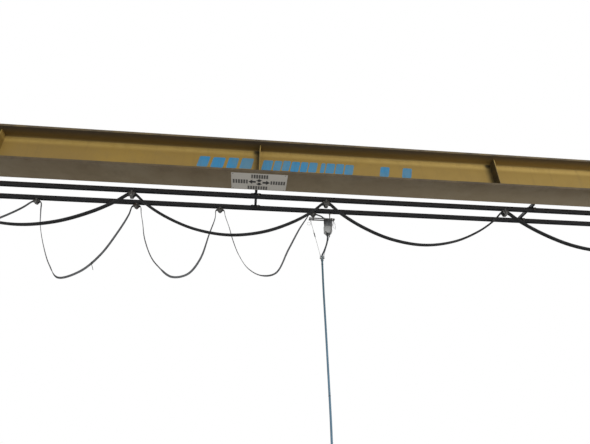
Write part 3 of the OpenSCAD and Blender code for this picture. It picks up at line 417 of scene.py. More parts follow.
class Kit:
    """One piece, built up from solids in a single mesh."""

    def __init__(self, name, *mats, body="bridge", slot=None, angle=35):
        self.name, self.mats, self.body, self.slot, self.angle = name, mats, body, slot, angle
        self.bm = bmesh.new()

    def face(self, corners, m, smooth=True):
        made = self.bm.faces.new(corners)
        made.material_index, made.smooth = m, smooth

    def merge(self, part, m, bevel, matrix=Matrix.Identity(4)):
        if bevel:
            bmesh.ops.bevel(part, geom=part.edges[:], offset=bevel / 1000, segments=2, profile=0.6,
                            affect="EDGES")
        part.verts.index_update()
        made = [self.bm.verts.new(matrix @ v.co) for v in part.verts]
        for f in part.faces:
            self.face([made[v.index] for v in f.verts], m)
        part.free()

    def box(self, centre, size, m=0, bevel=0.0, turn=Matrix.Identity(3)):
        part = bmesh.new()
        bmesh.ops.create_cube(part, size=1.0)
        bmesh.ops.scale(part, vec=Vector(size) / 1000, verts=part.verts)
        self.merge(part, m, bevel, Matrix.Translation(centre) @ turn.to_4x4())

    def lathe(self, at, axis, profile, n=32, m=0, closed=False):
        """Revolves (radius, height) pairs round an axis into a solid, or into a ring if they are closed."""
        if not closed:
            profile = [(0, 0), *profile] + [(0, h) for r, h in profile[-1:] if r]
        turn = turned_to(axis)
        rows = []
        for r, h in profile:
            spots = circle(r, n) if r else [(0, 0)]
            rows.append([self.bm.verts.new(at + turn @ Vector((x, y, h)) / 1000) for x, y in spots])
        for a, b in zip(rows, rows[1:] + rows[:1] if closed else rows[1:]):
            for k in range(n):
                corners = (a[k % len(a)], a[(k + 1) % len(a)], b[(k + 1) % len(b)], b[k % len(b)])
                corners = list(dict.fromkeys(corners))
                if len(corners) > 2:
                    self.face(corners, m)

    def rod(self, a, b, r, n=20, m=0, bevel=0.0):
        length = (b - a).length * 1000
        e = min(bevel, r * 0.5, length * 0.4)
        profile = [(r - e, 0), (r, e), (r, length - e), (r - e, length)] if e else [(r, 0), (r, length)]
        self.lathe(a, b - a, profile, n, m)

    def plate(self, outline, origin, u, v, t, m=0, bevel=0.0):
        """Extrudes an outline in the plane of u and v by t along their cross product."""
        low = [origin + (u * a + v * b) / 1000 for a, b in outline]
        n, rise = len(low), u.cross(v) * t / 1000
        part = bmesh.new()
        made = [part.verts.new(p) for p in low + [p + rise for p in low]]
        part.faces.new(made[:n][::-1])
        part.faces.new(made[n:])
        for i in range(n):
            k = (i + 1) % n
            part.faces.new([made[i], made[k], made[n + k], made[n + i]])
        self.merge(part, m, bevel)

    def bolt(self, at, axis, af=24, head=12, washer=True, m=0, stub=0):
        """A hexagon head on a washer, with a threaded end that stands out of a nut when stub is given."""
        shift, base = rnd.random() * 3, 0.0
        if washer:
            base = af * 0.11
            self.lathe(at, axis, [(af * 0.92, 0), (af * 0.92, base)], 20, m)
        r, top, turn = af / math.sqrt(3), base + head, turned_to(axis)
        self.skin([[at + turn @ Vector((x, y, h)) / 1000 for x, y in circle(q, 6, shift)]
                   for q, h in ((r, base), (r, base + head * 0.8), (r * 0.86, top))], m, False)
        if stub:
            way = axis.normalized() / 1000
            self.rod(at + way * top, at + way * (top + stub), af * 0.3, 12, m, af * 0.05)

    def tube(self, points, r, n=8, m=0, sizes=None):
        """A round tube along points, with closed ends."""
        self.skin(ring_rows(points, lambda i: circle(r * (sizes[i] if sizes else 1.0), n)), m)

    def skin(self, rows, m=0, smooth=True):
        """Faces between rings of points, and one over each end."""
        made = [[self.bm.verts.new(p) for p in row] for row in rows]
        n = len(made[0])
        for a, b in zip(made, made[1:]):
            for k in range(n):
                self.face([a[k], a[(k + 1) % n], b[(k + 1) % n], b[k]], m, smooth)
        self.face(made[0][::-1], m, smooth)
        self.face(made[-1], m, smooth)

    def done(self):
        bmesh.ops.recalc_face_normals(self.bm, faces=self.bm.faces[:])
        mesh = bpy.data.meshes.new(self.name)
        self.bm.to_mesh(mesh)
        self.bm.free()
        for m in self.mats:
            mesh.materials.append(M[m])
        mesh.set_sharp_from_angle(angle=math.radians(self.angle))
        made = bpy.data.objects.new(self.name, mesh)
        bpy.context.scene.collection.objects.link(made)
        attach(made, self.body)
        return made


def ring_rows(points, section, side=None, twist=None):
    """Rings of a sweep; side is the direction of the section's first axis, twist an angle at each point."""
    rows, across = [], None
    for i, p in enumerate(points):
        d = (points[min(i + 1, len(points) - 1)] - points[max(i - 1, 0)]).normalized()
        across = side or across or d.orthogonal()
        across = (across - d * across.dot(d)).normalized()
        lift = d.cross(across)
        c, s = (math.cos(twist[i]), math.sin(twist[i])) if twist else (1, 0)
        a, b = across * c + lift * s, lift * c - across * s
        rows.append([p + (a * x + b * y) / 1000 for x, y in section(i)])
    return rows


def smooth(points, spacing):
    """Points at even spacing, in metres, on a smooth curve through the given points."""
    def between(p, q, k0, k1):
        return p * ((k1 - t) / (k1 - k0)) + q * ((t - k0) / (k1 - k0))

    ends = [points[0] * 2 - points[1], *points, points[-1] * 2 - points[-2]]
    fine = []
    for i in range(1, len(ends) - 2):
        four, k = ends[i - 1:i + 3], [0.0]
        for a, b in zip(four, four[1:]):
            k.append(k[-1] + max((b - a).length, 1e-6) ** 0.5)
        steps = max(4, int((four[2] - four[1]).length / (spacing * 0.25)))
        for j in range(steps):
            t = k[1] + (k[2] - k[1]) * j / steps
            three = [between(four[n], four[n + 1], k[n], k[n + 1]) for n in range(3)]
            two = [between(three[n], three[n + 1], k[n], k[n + 2]) for n in range(2)]
            fine.append(between(*two, k[1], k[2]))
    fine.append(points[-1])
    out, travelled, wanted = [fine[0]], 0.0, spacing
    for a, b in zip(fine, fine[1:]):
        step = (b - a).length
        while travelled + step >= wanted:
            out.append(a + (b - a) * ((wanted - travelled) / step))
            wanted += spacing
        travelled += step
    if (out[-1] - fine[-1]).length < spacing * 0.4:
        out.pop()
    return out + [fine[-1]]


def strand_section(off, angle, r):
    """A small circle beside a rope's middle line."""
    return [(off * math.cos(angle) + a, off * math.sin(angle) + b) for a, b in circle(r, 6)]


def length_of(points):
    return sum((b - a).length for a, b in zip(points, points[1:]))


def slab(kit, outline, x0, x1, y, z, m=0, bevel=0.0):
    """An outline in y and z round a point, made solid between two values of x."""
    low, high = sorted((x0, x1))
    kit.plate(outline, P(low, y, z), Y, Z, high - low, m, bevel)


def wall(kit, outline, y0, y1, x, z, m=0, bevel=0.0):
    """An outline in x and z round a point, made solid between two values of y."""
    low, high = sorted((y0, y1))
    kit.plate([(b, a) for a, b in outline], P(x, low, z), Z, X, high - low, m, bevel)


def stadium(r, rise, n=22):
    half = [(r * math.cos(math.pi * k / n), r * math.sin(math.pi * k / n)) for k in range(n + 1)]
    return [(-y, -z) for y, z in half] + [(y, rise + z) for y, z in half]


def rounded(w, h, r, n=6):
    out = []
    for quarter, (sx, sz) in enumerate(((1, 1), (-1, 1), (-1, -1), (1, -1))):
        for k in range(n + 1):
            a = math.radians(90 * (quarter + k / n))
            out.append((sx * (w / 2 - r) + r * math.cos(a), sz * (h / 2 - r) + r * math.sin(a)))
    return out


def rotated(outline, degrees):
    c, s = math.cos(math.radians(degrees)), math.sin(math.radians(degrees))
    return [(x * c - y * s, x * s + y * c) for x, y in outline]


def weld(kit, a, b, r=4.0, pitch=11):
    """A bead along an inner corner, a little uneven."""
    n = max(3, int((b - a).length * 1000 / pitch))
    sizes = [0.5] + [0.85 + 0.3 * rnd.random() for _ in range(n - 1)] + [0.5]
    kit.tube([a + (b - a) * (i / n) for i in range(n + 1)], r, 6, 0, sizes)


def weld_round(kit, spots, r, pitch):
    for a, b in zip(spots, spots[1:] + spots[:1]):
        weld(kit, a, b, r, pitch)


def gland(kit, at, axis, r, length, m=0):
    """A cable gland: hexagon, threaded body and a domed nut."""
    kit.bolt(at, axis, r * 1.72, length * 0.3, False, m)
    kit.lathe(at + axis * (length * 0.3 / 1000), axis, [(r * a, length * b) for a, b in (
        (0.84, 0), (0.84, 0.1), (0.96, 0.13), (0.96, 0.45), (0.88, 0.55), (0.7, 0.7))], 20, m)


def ribs(kit, place, size):
    """Twenty small ribs round a gland, at a radius of 24 mm."""
    for a, b in circle(24, 20):
        kit.box(place(a, b), size, 1)


def eye(kit, at, axis, r, thick, m=0):
    kit.lathe(at, axis, [(r + a, b) for a, b in circle(thick, 10)], 28, m, True)


def motor(kit, x0, x1, cowl_x, y, z, r, rc, fins):
    """A finned motor along x with a fan cowl at its far end; materials are paint, dark paint and bolts."""
    way = 1 if x1 > x0 else -1
    length, cowl, core = abs(x1 - x0), abs(cowl_x - x1), r * 0.87
    lid_x, fin_r, end = length * 0.42, (core + r) / 2 - 1, length + cowl

    def at(d, dy=0.0, dz=0.0):
        return P(x0 + way * d, y + dy, z + dz)

    def blade(d, a, at_r, size, m, bevel):
        kit.box(at(d, at_r * math.cos(a), at_r * math.sin(a)), size, m, bevel,
                Matrix.Rotation(a - math.pi / 2, 3, "X"))

    kit.lathe(at(0), X * way, [
        (r * 0.96, 0), (r, 4), (r, 20), (r * 0.95, 25), (core, 27), (core, length - 27), (r * 0.95,
        length - 25),
        (r, length - 19), (r * 0.98, length)], 44)
    for k in range(fins):
        a = 2 * math.pi * (k + 0.5) / fins
        if abs(math.degrees(a) - 90) >= 24:
            blade(length / 2, a, fin_r, (length - 46, 3.2, r - core + 3), 0, 0.6)
    kit.lathe(at(length), X * way, [
        (rc, 0), (rc, cowl * 0.76), (rc * 0.94, cowl * 0.93), (rc * 0.86, cowl), (rc * 0.80, cowl),
        (rc * 0.79, cowl - 5)], 44, 1)
    for share in (0.2, 0.38, 0.56, 0.71):
        kit.lathe(at(end - 5), X * way, band(rc * share - 2, rc * share + 2, 0, 4), 36, 1, True)
    for k in range(8):
        blade(end - 3.2, math.pi * k / 4, rc * 0.4, (3.5, 4, rc * 0.76), 1, 0.0)
    for dy, dz in circle(rc, 4, 0.5):
        kit.bolt(at(length + cowl * 0.3, dy, dz), Vector((0, dy, dz)), 8, 4, False, 2)
    kit.box(at(lid_x, 0, r - 4), (0.46 * length, 88, 52), 0, 4)
    kit.box(at(lid_x, 0, r + 24), (0.48 * length, 92, 6), 0, 2)
    for dx, dy in product((-0.2, 0.2), (-38, 38)):
        kit.bolt(at(length * (0.42 + dx), dy, r + 27), Z, 8, 4, False, 2)
    gland(kit, at(lid_x, 44, r + 2), Y, 12, 26, 1)


def gear_case(kit, x0, x1, y, z, r, rise, bolts):
    """A cast gear case between two x, with flanges, ribs and a ring of bolts on its far face."""
    way, t, mid = (1 if x1 > x0 else -1), abs(x1 - x0), (x0 + x1) / 2
    slab(kit, stadium(r - 6, rise), x0 + way, x1 - way, y, z)
    for a, b in ((0, 11), (t * 0.5 - 5, t * 0.5 + 5), (t - 13, t)):
        slab(kit, stadium(r, rise), x0 + way * a, x0 + way * b, y, z, 0, 2)
    bolt_r = r - 8
    arc = math.pi * bolt_r
    for k in range(bolts):
        upper, run = divmod(2 * k / bolts * (arc + rise), arc + rise)
        a = math.pi + run / bolt_r
        dy, dz = (bolt_r * math.cos(a), bolt_r * math.sin(a)) if run < arc else (bolt_r, run - arc)
        if upper:
            dy, dz = -dy, rise - dz
        kit.bolt(P(x1, y + dy, z + dz), X * way, 12, 6, True, 2)
    kit.lathe(P(x1, y, z), X * way, [(r * 0.55, 0), (r * 0.55, 3), (r * 0.5, 6)], 36)
    for dy, dz in ((-0.55, 0.76), (0.0, 0.90), (0.55, 0.76)):
        kit.box(P(mid, y + dy * r, z + rise + dz * r), (t - 16, 6, 20), 0, 1)
    kit.bolt(P(mid, y, z - r + 5), -Z, 16, 7, True, 2)


# Push button station, which hangs on the pendant cable: fittings round the CAD housing and buttons

def station():
    def at(dx, dy, dz):
        return P(STATION_X + dx, PENDANT_Y + dy, STATION_TOP + dz)

    body = Kit("station_fittings", "station", "cap", "bolt", slot="station_yellow", angle=40)
    for dz in (-196, -340, -96):
        body.plate(rounded(84.6, 64.6, 14), at(0, 0, dz), X, Y, 2.4, 1, 0.4)
    for side in BOTH:
        body.box(at(side * 42, 0, -190), (3, 10, 340), 0, 1.2)
    for k in range(6):
        r = 23.2 - 1.25 * k
        rib = [(r - 4, 0), (r + 1.2, 1.2), (r + 1.2, 4.2), (r - 4, 5.4)]
        body.lathe(at(0, 0, 4 + 10 * k), Z, rib, 28, 1, True)
    body.lathe(at(0, 0, -1), Z, [(29, 0), (29, 3), (27, 5)], 32)
    for dx, dz, side in product((-25.42, 25.42), (-14, -366), BOTH):
        body.bolt(at(dx, side * 32, dz), Y * side, 7, 3, False, 2)
    body.box(at(0, 32, -190), (52, 6, 260), 0, 2)
    for side in BOTH:
        body.box(at(side * 38, -30, -190), (5, 8, 330), 0, 1.5)
    body.done()
    knobs = Kit("station_buttons", "button", "red", "white", "station", slot="button_black", angle=40)
    arrow = [(-2.2, -6), (2.2, -6), (2.2, 0), (6, 0), (0, 7), (-6, 0), (-2.2, 0)]
    collar = [(14.5, 0), (17.2, 0), (17.2, 3.5), (15.8, 5), (14.5, 5)]
    arrow_y = PENDANT_Y - 43.2
    for row, turns in enumerate(((0, 180), (90, -90), (45, -135))):
        for side, turn in zip(BOTH, turns):
            dx, dz = side * 18, -150 - row * 75
            knobs.lathe(at(dx, -31.5, dz), -Y, collar, 32, 3, True)
            knobs.lathe(at(dx, -40.4, dz), -Y, [(14, 0), (13, 1.6), (9, 2.2)], 32)
            wall(knobs, rotated(arrow, turn), arrow_y, arrow_y + 0.8, STATION_X + dx, STATION_TOP + dz, 2)
    knobs.lathe(at(0, -31, -60), -Y, [(24.5, 0), (24.5, 4), (22.5, 6)], 36, 3)
    knobs.lathe(at(0, -45.6, -60), -Y, [
        (19, 0), (20.3, 1.4), (20.4, 9.5), (18.5, 12), (12, 13.6), (0, 14)], 40, 1)
    knobs.lathe(at(0, -36, -60), -Y, [(12.5, 0), (11.2, 10)], 28, 1)
    knobs.done()


station()


# Cables, on the routes that the CAD has

SADDLE_FLAT, SADDLE_HALF, SADDLE_FALL = 12, 36, 12
SHALLOW = [(0.07, 0.24), (0.18, 0.58), (0.33, 0.88), (0.5, 1), (0.67, 0.88), (0.82, 0.58), (0.93, 0.24)]
DEEP = [
    [(0.07, 0.15), (0.11, 0.34), (0.21, 0.63), (0.31, 0.85), (0.42, 1), (0.6, 0.92), (0.75, 0.71), (0.88,
     0.36),
     (0.94, 0.14)],
    [(0.07, 0.12), (0.11, 0.27), (0.16, 0.48), (0.27, 0.74), (0.36, 0.86), (0.53, 1), (0.7, 0.96), (0.82,
     0.76),
     (0.9, 0.38), (0.95, 0.14)],
    [(0.06, 0.11), (0.11, 0.29), (0.16, 0.5), (0.23, 0.72), (0.33, 0.91), (0.46, 1), (0.6, 0.96), (0.73, 0.6),
     (0.85, 0.26), (0.92, 0.1)]]
HOIST_XS = [-5160, -3205, -1250, 710, 2660, 4615]
PENDANT_XS = [-5240, -3990, -2240, -1250, -390, 605]
HOIST_CABLE_Z, PENDANT_CABLE_Z = -42.3, -37
HOIST_FEED = [(-5710, 20), (-5710, -60), (-5680, -180), (-5590, -280), (-5450, -300), (-5310, -220)]
HOIST_TAIL = [(4690, -88), (4730, -170), (4780, -232), (4828, -260), (4870, -260)]
PENDANT_FEED = [(-5710, 20), (-5710, -80), (-5680, -240), (-5590, -370), (-5480, -400), (-5380, -320),
                (-5310, -150)]
PENDANT_TAIL = [(690, -66), (720, -90), (734, -114), (734, -128)]
LEAD = [(750, -307), (750, -324), (744, -370), (724, -440), (700, -500), (686, -530), (681, -547), (681, -556)]
PENDANT_DROP = [(681, -600), (681, -900), (686, -1300), (690, -1700), (693, -2100), (690, -2500), (690, -2720)]


def festoon(feed, xs, z, drops, shapes, tail):
    route = list(feed)
    ramp = SADDLE_HALF + 4
    for i, x in enumerate(xs):
        route += [(x - ramp, z - SADDLE_FALL), (x - SADDLE_FLAT, z)]
        route += [(x + SADDLE_FLAT, z), (x + ramp, z - SADDLE_FALL)]
        if i < len(xs) - 1:
            route += [(x + a * (xs[i + 1] - x), z - b * drops[i]) for a, b in shapes[i]]
    return route + tail


def flat_section(w, t, cores, per_core=5):
    """A flat cable's outline: rounded edges and a shallow groove between its cores."""
    top, steps = [], cores * per_core
    for k in range(steps + 1):
        dip = 0.10 * t * (0.5 + 0.5 * math.cos(2 * math.pi * k / per_core)) if 0 < k < steps else 0.0
        top.append((-w / 2 + t * 0.3 + (w - t * 0.6) * k / steps, t / 2 - dip))
    edge = [(w / 2 - t * 0.3 + t * 0.3 * math.sin(a), t / 2 * math.cos(a))
            for a in (0.6, 1.1, 1.57, 2.04, 2.54)]
    return top + edge + [(-x, -y) for x, y in top + edge]


def flat_cable(name, route, y, w, t, cores, mat, replaces, swing, sway, rise=0.0, turns=()):
    """A flat cable along a festoon's route; rise lifts it off the route's own line, for one of a stack.
    turns are (x0, x1, angle): where the cable lies turned about its own line between two trolleys."""
    points = smooth([P(x, y, z) for x, z in route], 0.014)
    lengths = [0.0]
    for a, b in zip(points, points[1:]):
        lengths.append(lengths[-1] + (b - a).length)
    hang = [max(0.0, min(1.0, (GIRDER_Z / 1000 - 0.075 - p.z) / 0.30)) for p in points]
    twist = [swing * h * math.sin(2.3 * s + 0.7 * math.sin(1.1 * s)) for h, s in zip(hang, lengths)]
    for x0, x1, angle in turns:
        for i, p in enumerate(points):
            u = (p.x * 1000 - MID_X - x0) / (x1 - x0)
            if 0 < u < 1:
                twist[i] += angle * math.sin(math.pi * u ** 0.8) ** 0.7
    points = [p + Y * (sway * h * math.sin(1.7 * s + 1.0)) for p, h, s in zip(points, hang, lengths)]
    section = [(x, z + rise) for x, z in flat_section(w, t, cores)]
    kit = Kit(name, mat, slot="cable_black", angle=50)
    kit.skin(ring_rows(points, lambda i: section, Y, twist))
    made = kit.done()
    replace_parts(made, replaces)
    line = [row[0] for row in ring_rows(points, lambda i: [(0.0, rise)], Y, twist)]
    round(length_of(line), 2)
    line[::3] + [line[-1]]
    return line


def round_cable(name, route, r, mat, slot, replaces):
    points = smooth([P(x, PENDANT_Y, z) for x, z in route], r * 1.2 / 1000)
    kit = Kit(name, mat, slot=slot, angle=60)
    kit.skin(ring_rows(points, lambda i: circle(r, 16)))
    made = kit.done()
    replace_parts(made, replaces)
    round(length_of(points), 2)
    points[::2] + [points[-1]]


hoist_route = festoon(HOIST_FEED, HOIST_XS, HOIST_CABLE_Z, [420, 405, 427, 447, 428], [SHALLOW] * 5,
                      HOIST_TAIL)
for layer, rise in (("upper", 4.3), ("lower", -4.3)):
    flat_cable("hoist_flat_cable_" + layer, hoist_route, HOIST_Y, 40, 8, 7, "cable", "hoist_festoon_cable",
               0.10, 0.004, rise)
pendant_route = festoon(PENDANT_FEED, PENDANT_XS, PENDANT_CABLE_Z, [600, 400, 840, 790, 750],
                        [SHALLOW, SHALLOW, *DEEP], PENDANT_TAIL)
pendant_line = flat_cable(
    "pendant_flat_cable", pendant_route, PENDANT_Y, 22, 6, 4, "cable_grey", "pendant_festoon_cable",
    0.35, 0.006, 0.0,
    [(-4900, -4060, -0.8), (-3800, -2300, -1.0), (-1900, -1290, -1.3), (-900, -430, -1.3), (60, 560, -0.5)])
round_cable("pendant_short_lead", LEAD, 9, "lead", "cable_black", "pendant_lead")
round_cable("pendant_control_cable", PENDANT_DROP, 10, "cable_blue", "cable_blue_grey", "pendant_cable")


# CAD nodes by their look

LOOKS = {
    "runway": "runway_beam_left runway_beam_right",
    "rail": "runway_rails",
    "stripes": "runway_stops",
    "girder": "girder web_stiffeners girder_end_plates",
    "carriage": "end_carriage_left end_carriage_right hoist_trolley_frame",
    "wheel": "travel_wheels hoist_trolley_wheels bottom_sheave",
    "axle": "wheel_axles",
    "drive": "travel_drive_left travel_drive_right hoist_frame hoist_motor hoist_gearbox",
    "rubber": "buffers",
    "drum": "rope_drum",
    "grey_box": "hoist_control_box control_cabinet",
    "rope": "hoist_rope",
    "block": "hook_block",
    "hook": "lifting_hook",
    "arm": "track_arms",
    "zinc_dark": "track_brackets pendant_trolley",
    "track": "hoist_cable_track pendant_cable_track",
    "cap": "track_end_caps strain_clamp",
    "zinc": "hoist_cable_trolleys pendant_cable_trolleys strain_wires",
    "junction": "junction_box",
    "station": "push_button_station",
    "button": "push_buttons",
}
for look, names in LOOKS.items():
    for name in names.split():
        materials = nodes[name].data.materials
        materials.clear()
        materials.append(M[look])


# Welds and bolts of the girder, the arms and the runway

def girder_details():
    beads = Kit("girder_welds", "girder", slot="crane_yellow", angle=60)
    corners = (FLANGE_T + 0.5, GIRDER_H - FLANGE_T - 0.5)
    for x, w in [(k * BAY, 90) for k in range(-2, 3)] + [(side * MID_X, 143) for side in BOTH]:
        for side, dx in product(BOTH, (-6.5, 6.5)):
            face = side * WEB_T / 2
            weld(beads, P(x + dx, face, 58), P(x + dx, face, 342))
            for z in corners:
                weld(beads, P(x + dx, face + side * 34, z), P(x + dx, face + side * (w - 2), z))
    for end, side in product(BOTH, BOTH):
        x = end * GIRDER_END
        weld(beads, P(x, side * 7.5, 50), P(x, side * 7.5, 350), 5)
        for z in corners:
            weld(beads, P(x, side * 30, z), P(x, side * 147, z), 5)
    beads.done()
    bolts = Kit("girder_seat_bolts", "bolt", slot="axle_steel")
    for end, dx, y in product(BOTH, (-58, 58), (-118, -64, 64, 118)):
        bolts.bolt(P(end * MID_X + dx, y, FLANGE_T), Z, 36, 18, stub=10)
    bolts.done()


def arm_details():
    beads = Kit("arm_welds", "arm", "cap", slot="arm_dark", angle=60)
    for x in ARM_XS + CABINET_ARM_XS:
        end = 530 if x in ARM_XS else 596
        for z in (190, 300):
            weld(beads, P(x - 52, 7, z), P(x + 12, 7, z), 3.5)
        for dx in (-53, 13):
            weld(beads, P(x + dx, 7, 192), P(x + dx, 7, 298), 3.5)
        for z in (232, 258):
            weld(beads, P(x - 12, 15, z), P(x + 12, 15, z), 3)
        for dx in (-13, 13):
            weld(beads, P(x + dx, 15, 234), P(x + dx, 15, 256), 3)
            for z in (233, 25):
                weld(beads, P(x + dx, 201, z), P(x + dx, 225, z + 24), 2.2)
        beads.box(P(x, end + 1.2, 37), (25, 4, 25), 1, 1.2)
    beads.done()
    bolts = Kit("arm_bolts", "bolt", slot="bracket_zinc")
    for x in ARM_XS:
        for y, shift in ((HOIST_Y, 13), (PENDANT_Y, 0)):
            bolts.bolt(P(x + 32, y, 24), Z, 15, 8, stub=8)
            bolts.bolt(P(x - 32, y + shift, 24), Z, 15, 8, stub=8)
            for side in BOTH:
                bolts.bolt(P(x + 27, y + side * 23, 2), Y * side, 10, 5, stub=3)
    for x, y in product(CABINET_ARM_XS, (290, 550)):
        bolts.bolt(P(x, y, 24), -Z, 17, 9)
    for side, y in product(BOTH, (HOIST_Y, PENDANT_Y)):
        bolts.bolt(P(side * 5456, y, 8), X * side, 9, 4)
    bolts.done()


def runway_details():
    beads = Kit("rail_welds", "weld", body="runway", slot="rail_steel", angle=60)
    foot = 261 - GIRDER_Z
    for rail in BOTH:
        x = rail * MID_X
        for k, side in product(range(19), BOTH):
            y = -2700 + 300 * k
            weld(beads, P(x + side * 26, y - 35, foot), P(x + side * 26, y + 35, foot), 4.5)
        for end, face in product(BOTH, (2840, 2861)):
            weld(beads, P(x - 62, end * face, foot), P(x + 62, end * face, foot), 4.5)
    beads.done()


def axle_cover(beads, bolts, cx, side, y):
    """Weld, bolts, lock plate and grease lid at a wheel's axle, on one side of its carriage."""
    face = cx + side * 102
    weld_round(beads, [P(cx + side * 90, y + a, AXLE_Z + b) for a, b in circle(52, 24)], 3.5, 7)
    for a, b in circle(40, 6, 0.5):
        bolts.bolt(P(face, y + a, AXLE_Z + b), X * side, 13, 7)
    bolts.box(P(face + side * 3, y, -145), (6, 44, 12), 0, 1)
    bolts.lathe(P(face, y, AXLE_Z), X * side, [(23, 0), (23, 1), (21, 3), (6, 3), (4, 1)], 28)


def carriage_details():
    beads = Kit("carriage_welds", "carriage", slot="crane_yellow", angle=60)
    bolts = Kit("carriage_bolts", "bolt", slot="axle_steel")
    rubber = Kit("buffer_fittings", "bolt", "rubber", slot="buffer_rubber")
    sweeps = Kit("rail_sweeps", "stripes", "bolt", slot="crane_yellow")
    buffer_z, sweep_y = -120, CARRIAGE_END - 16
    for cx, drive_side in ((-MID_X, 1), (MID_X, -1)):
        for side in BOTH:
            for z in (-8, -232):
                weld(beads, P(cx + side * 90, -1146, z), P(cx + side * 90, 1146, z), 2.8, 20)
            for y in (-WHEEL_Y, WHEEL_Y):
                if side != drive_side or y > 0:
                    axle_cover(beads, bolts, cx, side, y)
        for end in BOTH:
            for dx, dz in product((-47, 47), (-47, 47)):
                bolts.bolt(P(cx + dx, end * CARRIAGE_END, buffer_z + dz), Y * end, 18, 10)
            rubber.lathe(P(cx, end * CARRIAGE_END, buffer_z), Y * end, [(52.5, 0), (52.5, 6), (50, 8)], 40)
            rubber.lathe(P(cx, end * (CARRIAGE_END + 70), buffer_z), -Y * end, [(11, 0), (11, 4)], 20)
            for h, r in ((22, 50.6), (38, 45.2), (52, 40.8)):
                rubber.lathe(P(cx, end * (CARRIAGE_END + h), buffer_z), Y * end,
                             [(r - 3, 0), (r, 1), (r, 4), (r - 3, 5)], 40, 1, True)
            sweeps.box(P(cx, end * sweep_y, -249), (90, 10, 18), 0, 1.5)
            for dx in (-36, 36):
                sweeps.box(P(cx + dx, end * sweep_y, -262), (10, 10, 36), 0, 1.5)
    for kit in (beads, bolts, rubber, sweeps):
        kit.done()


def travel_drives():
    for name, way in (("travel_drive_left", 1), ("travel_drive_right", -1)):
        kit = Kit(name + "_unit", "drive", "cowl", "bolt", slot="drive_blue", angle=40)
        face, flange, end, cowl_end = [way * (d - 6048) for d in (0, 90, 320, 380)]
        gear_case(kit, face, flange, -WHEEL_Y, AXLE_Z, 72, 90, 12)
        motor(kit, flange, end, cowl_end, -WHEEL_Y, AXLE_Z + 90, 68, 72, 30)
        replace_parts(kit.done(), name)


# Hoist; x is measured from its middle

def round_drum(x, r, angle):
    return H(x, DRUM_Y + r * math.cos(angle), DRUM_Z + r * math.sin(angle))


def wire_rope(line):
    """Six strands that wind round a core along a line."""
    rope = Kit("hoist_wire_rope", "rope", slot="rope_steel", angle=60)
    rope.tube(line, 3.4)
    turn, lay = [0.0], 0.075
    for a, b in zip(line, line[1:]):
        turn.append(turn[-1] + (b - a).length * 2 * math.pi / lay)
    for strand in range(6):
        start = math.pi * strand / 3
        rope.skin(ring_rows(line, lambda i: strand_section(4, turn[i] + start, 2), X))
    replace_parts(rope.done(), "hoist_rope")


def drum_and_rope():
    drum = Kit("drum_shell", "drum", "bolt", slot="drum_steel", angle=40)
    half = [(30, 0), (30, 20), (60, 20), (112, 20), (118, 24), (118, 32), (114, 36), (92, 36)]
    drum.lathe(H(-260, DRUM_Y, DRUM_Z), X, half + [(r, 520 - h) for r, h in reversed(half)], 64)
    for side, k in product(BOTH, range(8)):
        drum.bolt(round_drum(side * 240, 74, math.pi * k / 4), X * side, 18, 9, True, 1)
    made = drum.done()
    layer = Kit("drum_rope", "rope", slot="rope_steel", angle=60)
    pitch, steps = 13, 44
    layer.tube([round_drum(-208 + pitch * k / steps, 98, 2 * math.pi * k / steps)
                for k in range(31 * steps + 1)], 6)
    wound = layer.done()
    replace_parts(made, "rope_drum")
    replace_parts(wound, "rope_drum")
    line = [H(0, FALL_Y, -128 - 8 * k) for k in range(95)]
    line += [H(0, FALL_Y * math.cos(math.pi * k / 44), SHEAVE_Z - FALL_Y * math.sin(math.pi * k / 44))
             for k in range(45)]
    line += [H(0, -FALL_Y, SHEAVE_Z + 7.6 * k) for k in range(1, 73)]
    steps = 56
    line += [round_drum(pitch * k / steps, 110 - max(0.0, (k - 3 * steps) * 1.2), 2 * math.pi * k / steps)
             for k in range(3 * steps + 10)]
    wire_rope(line)


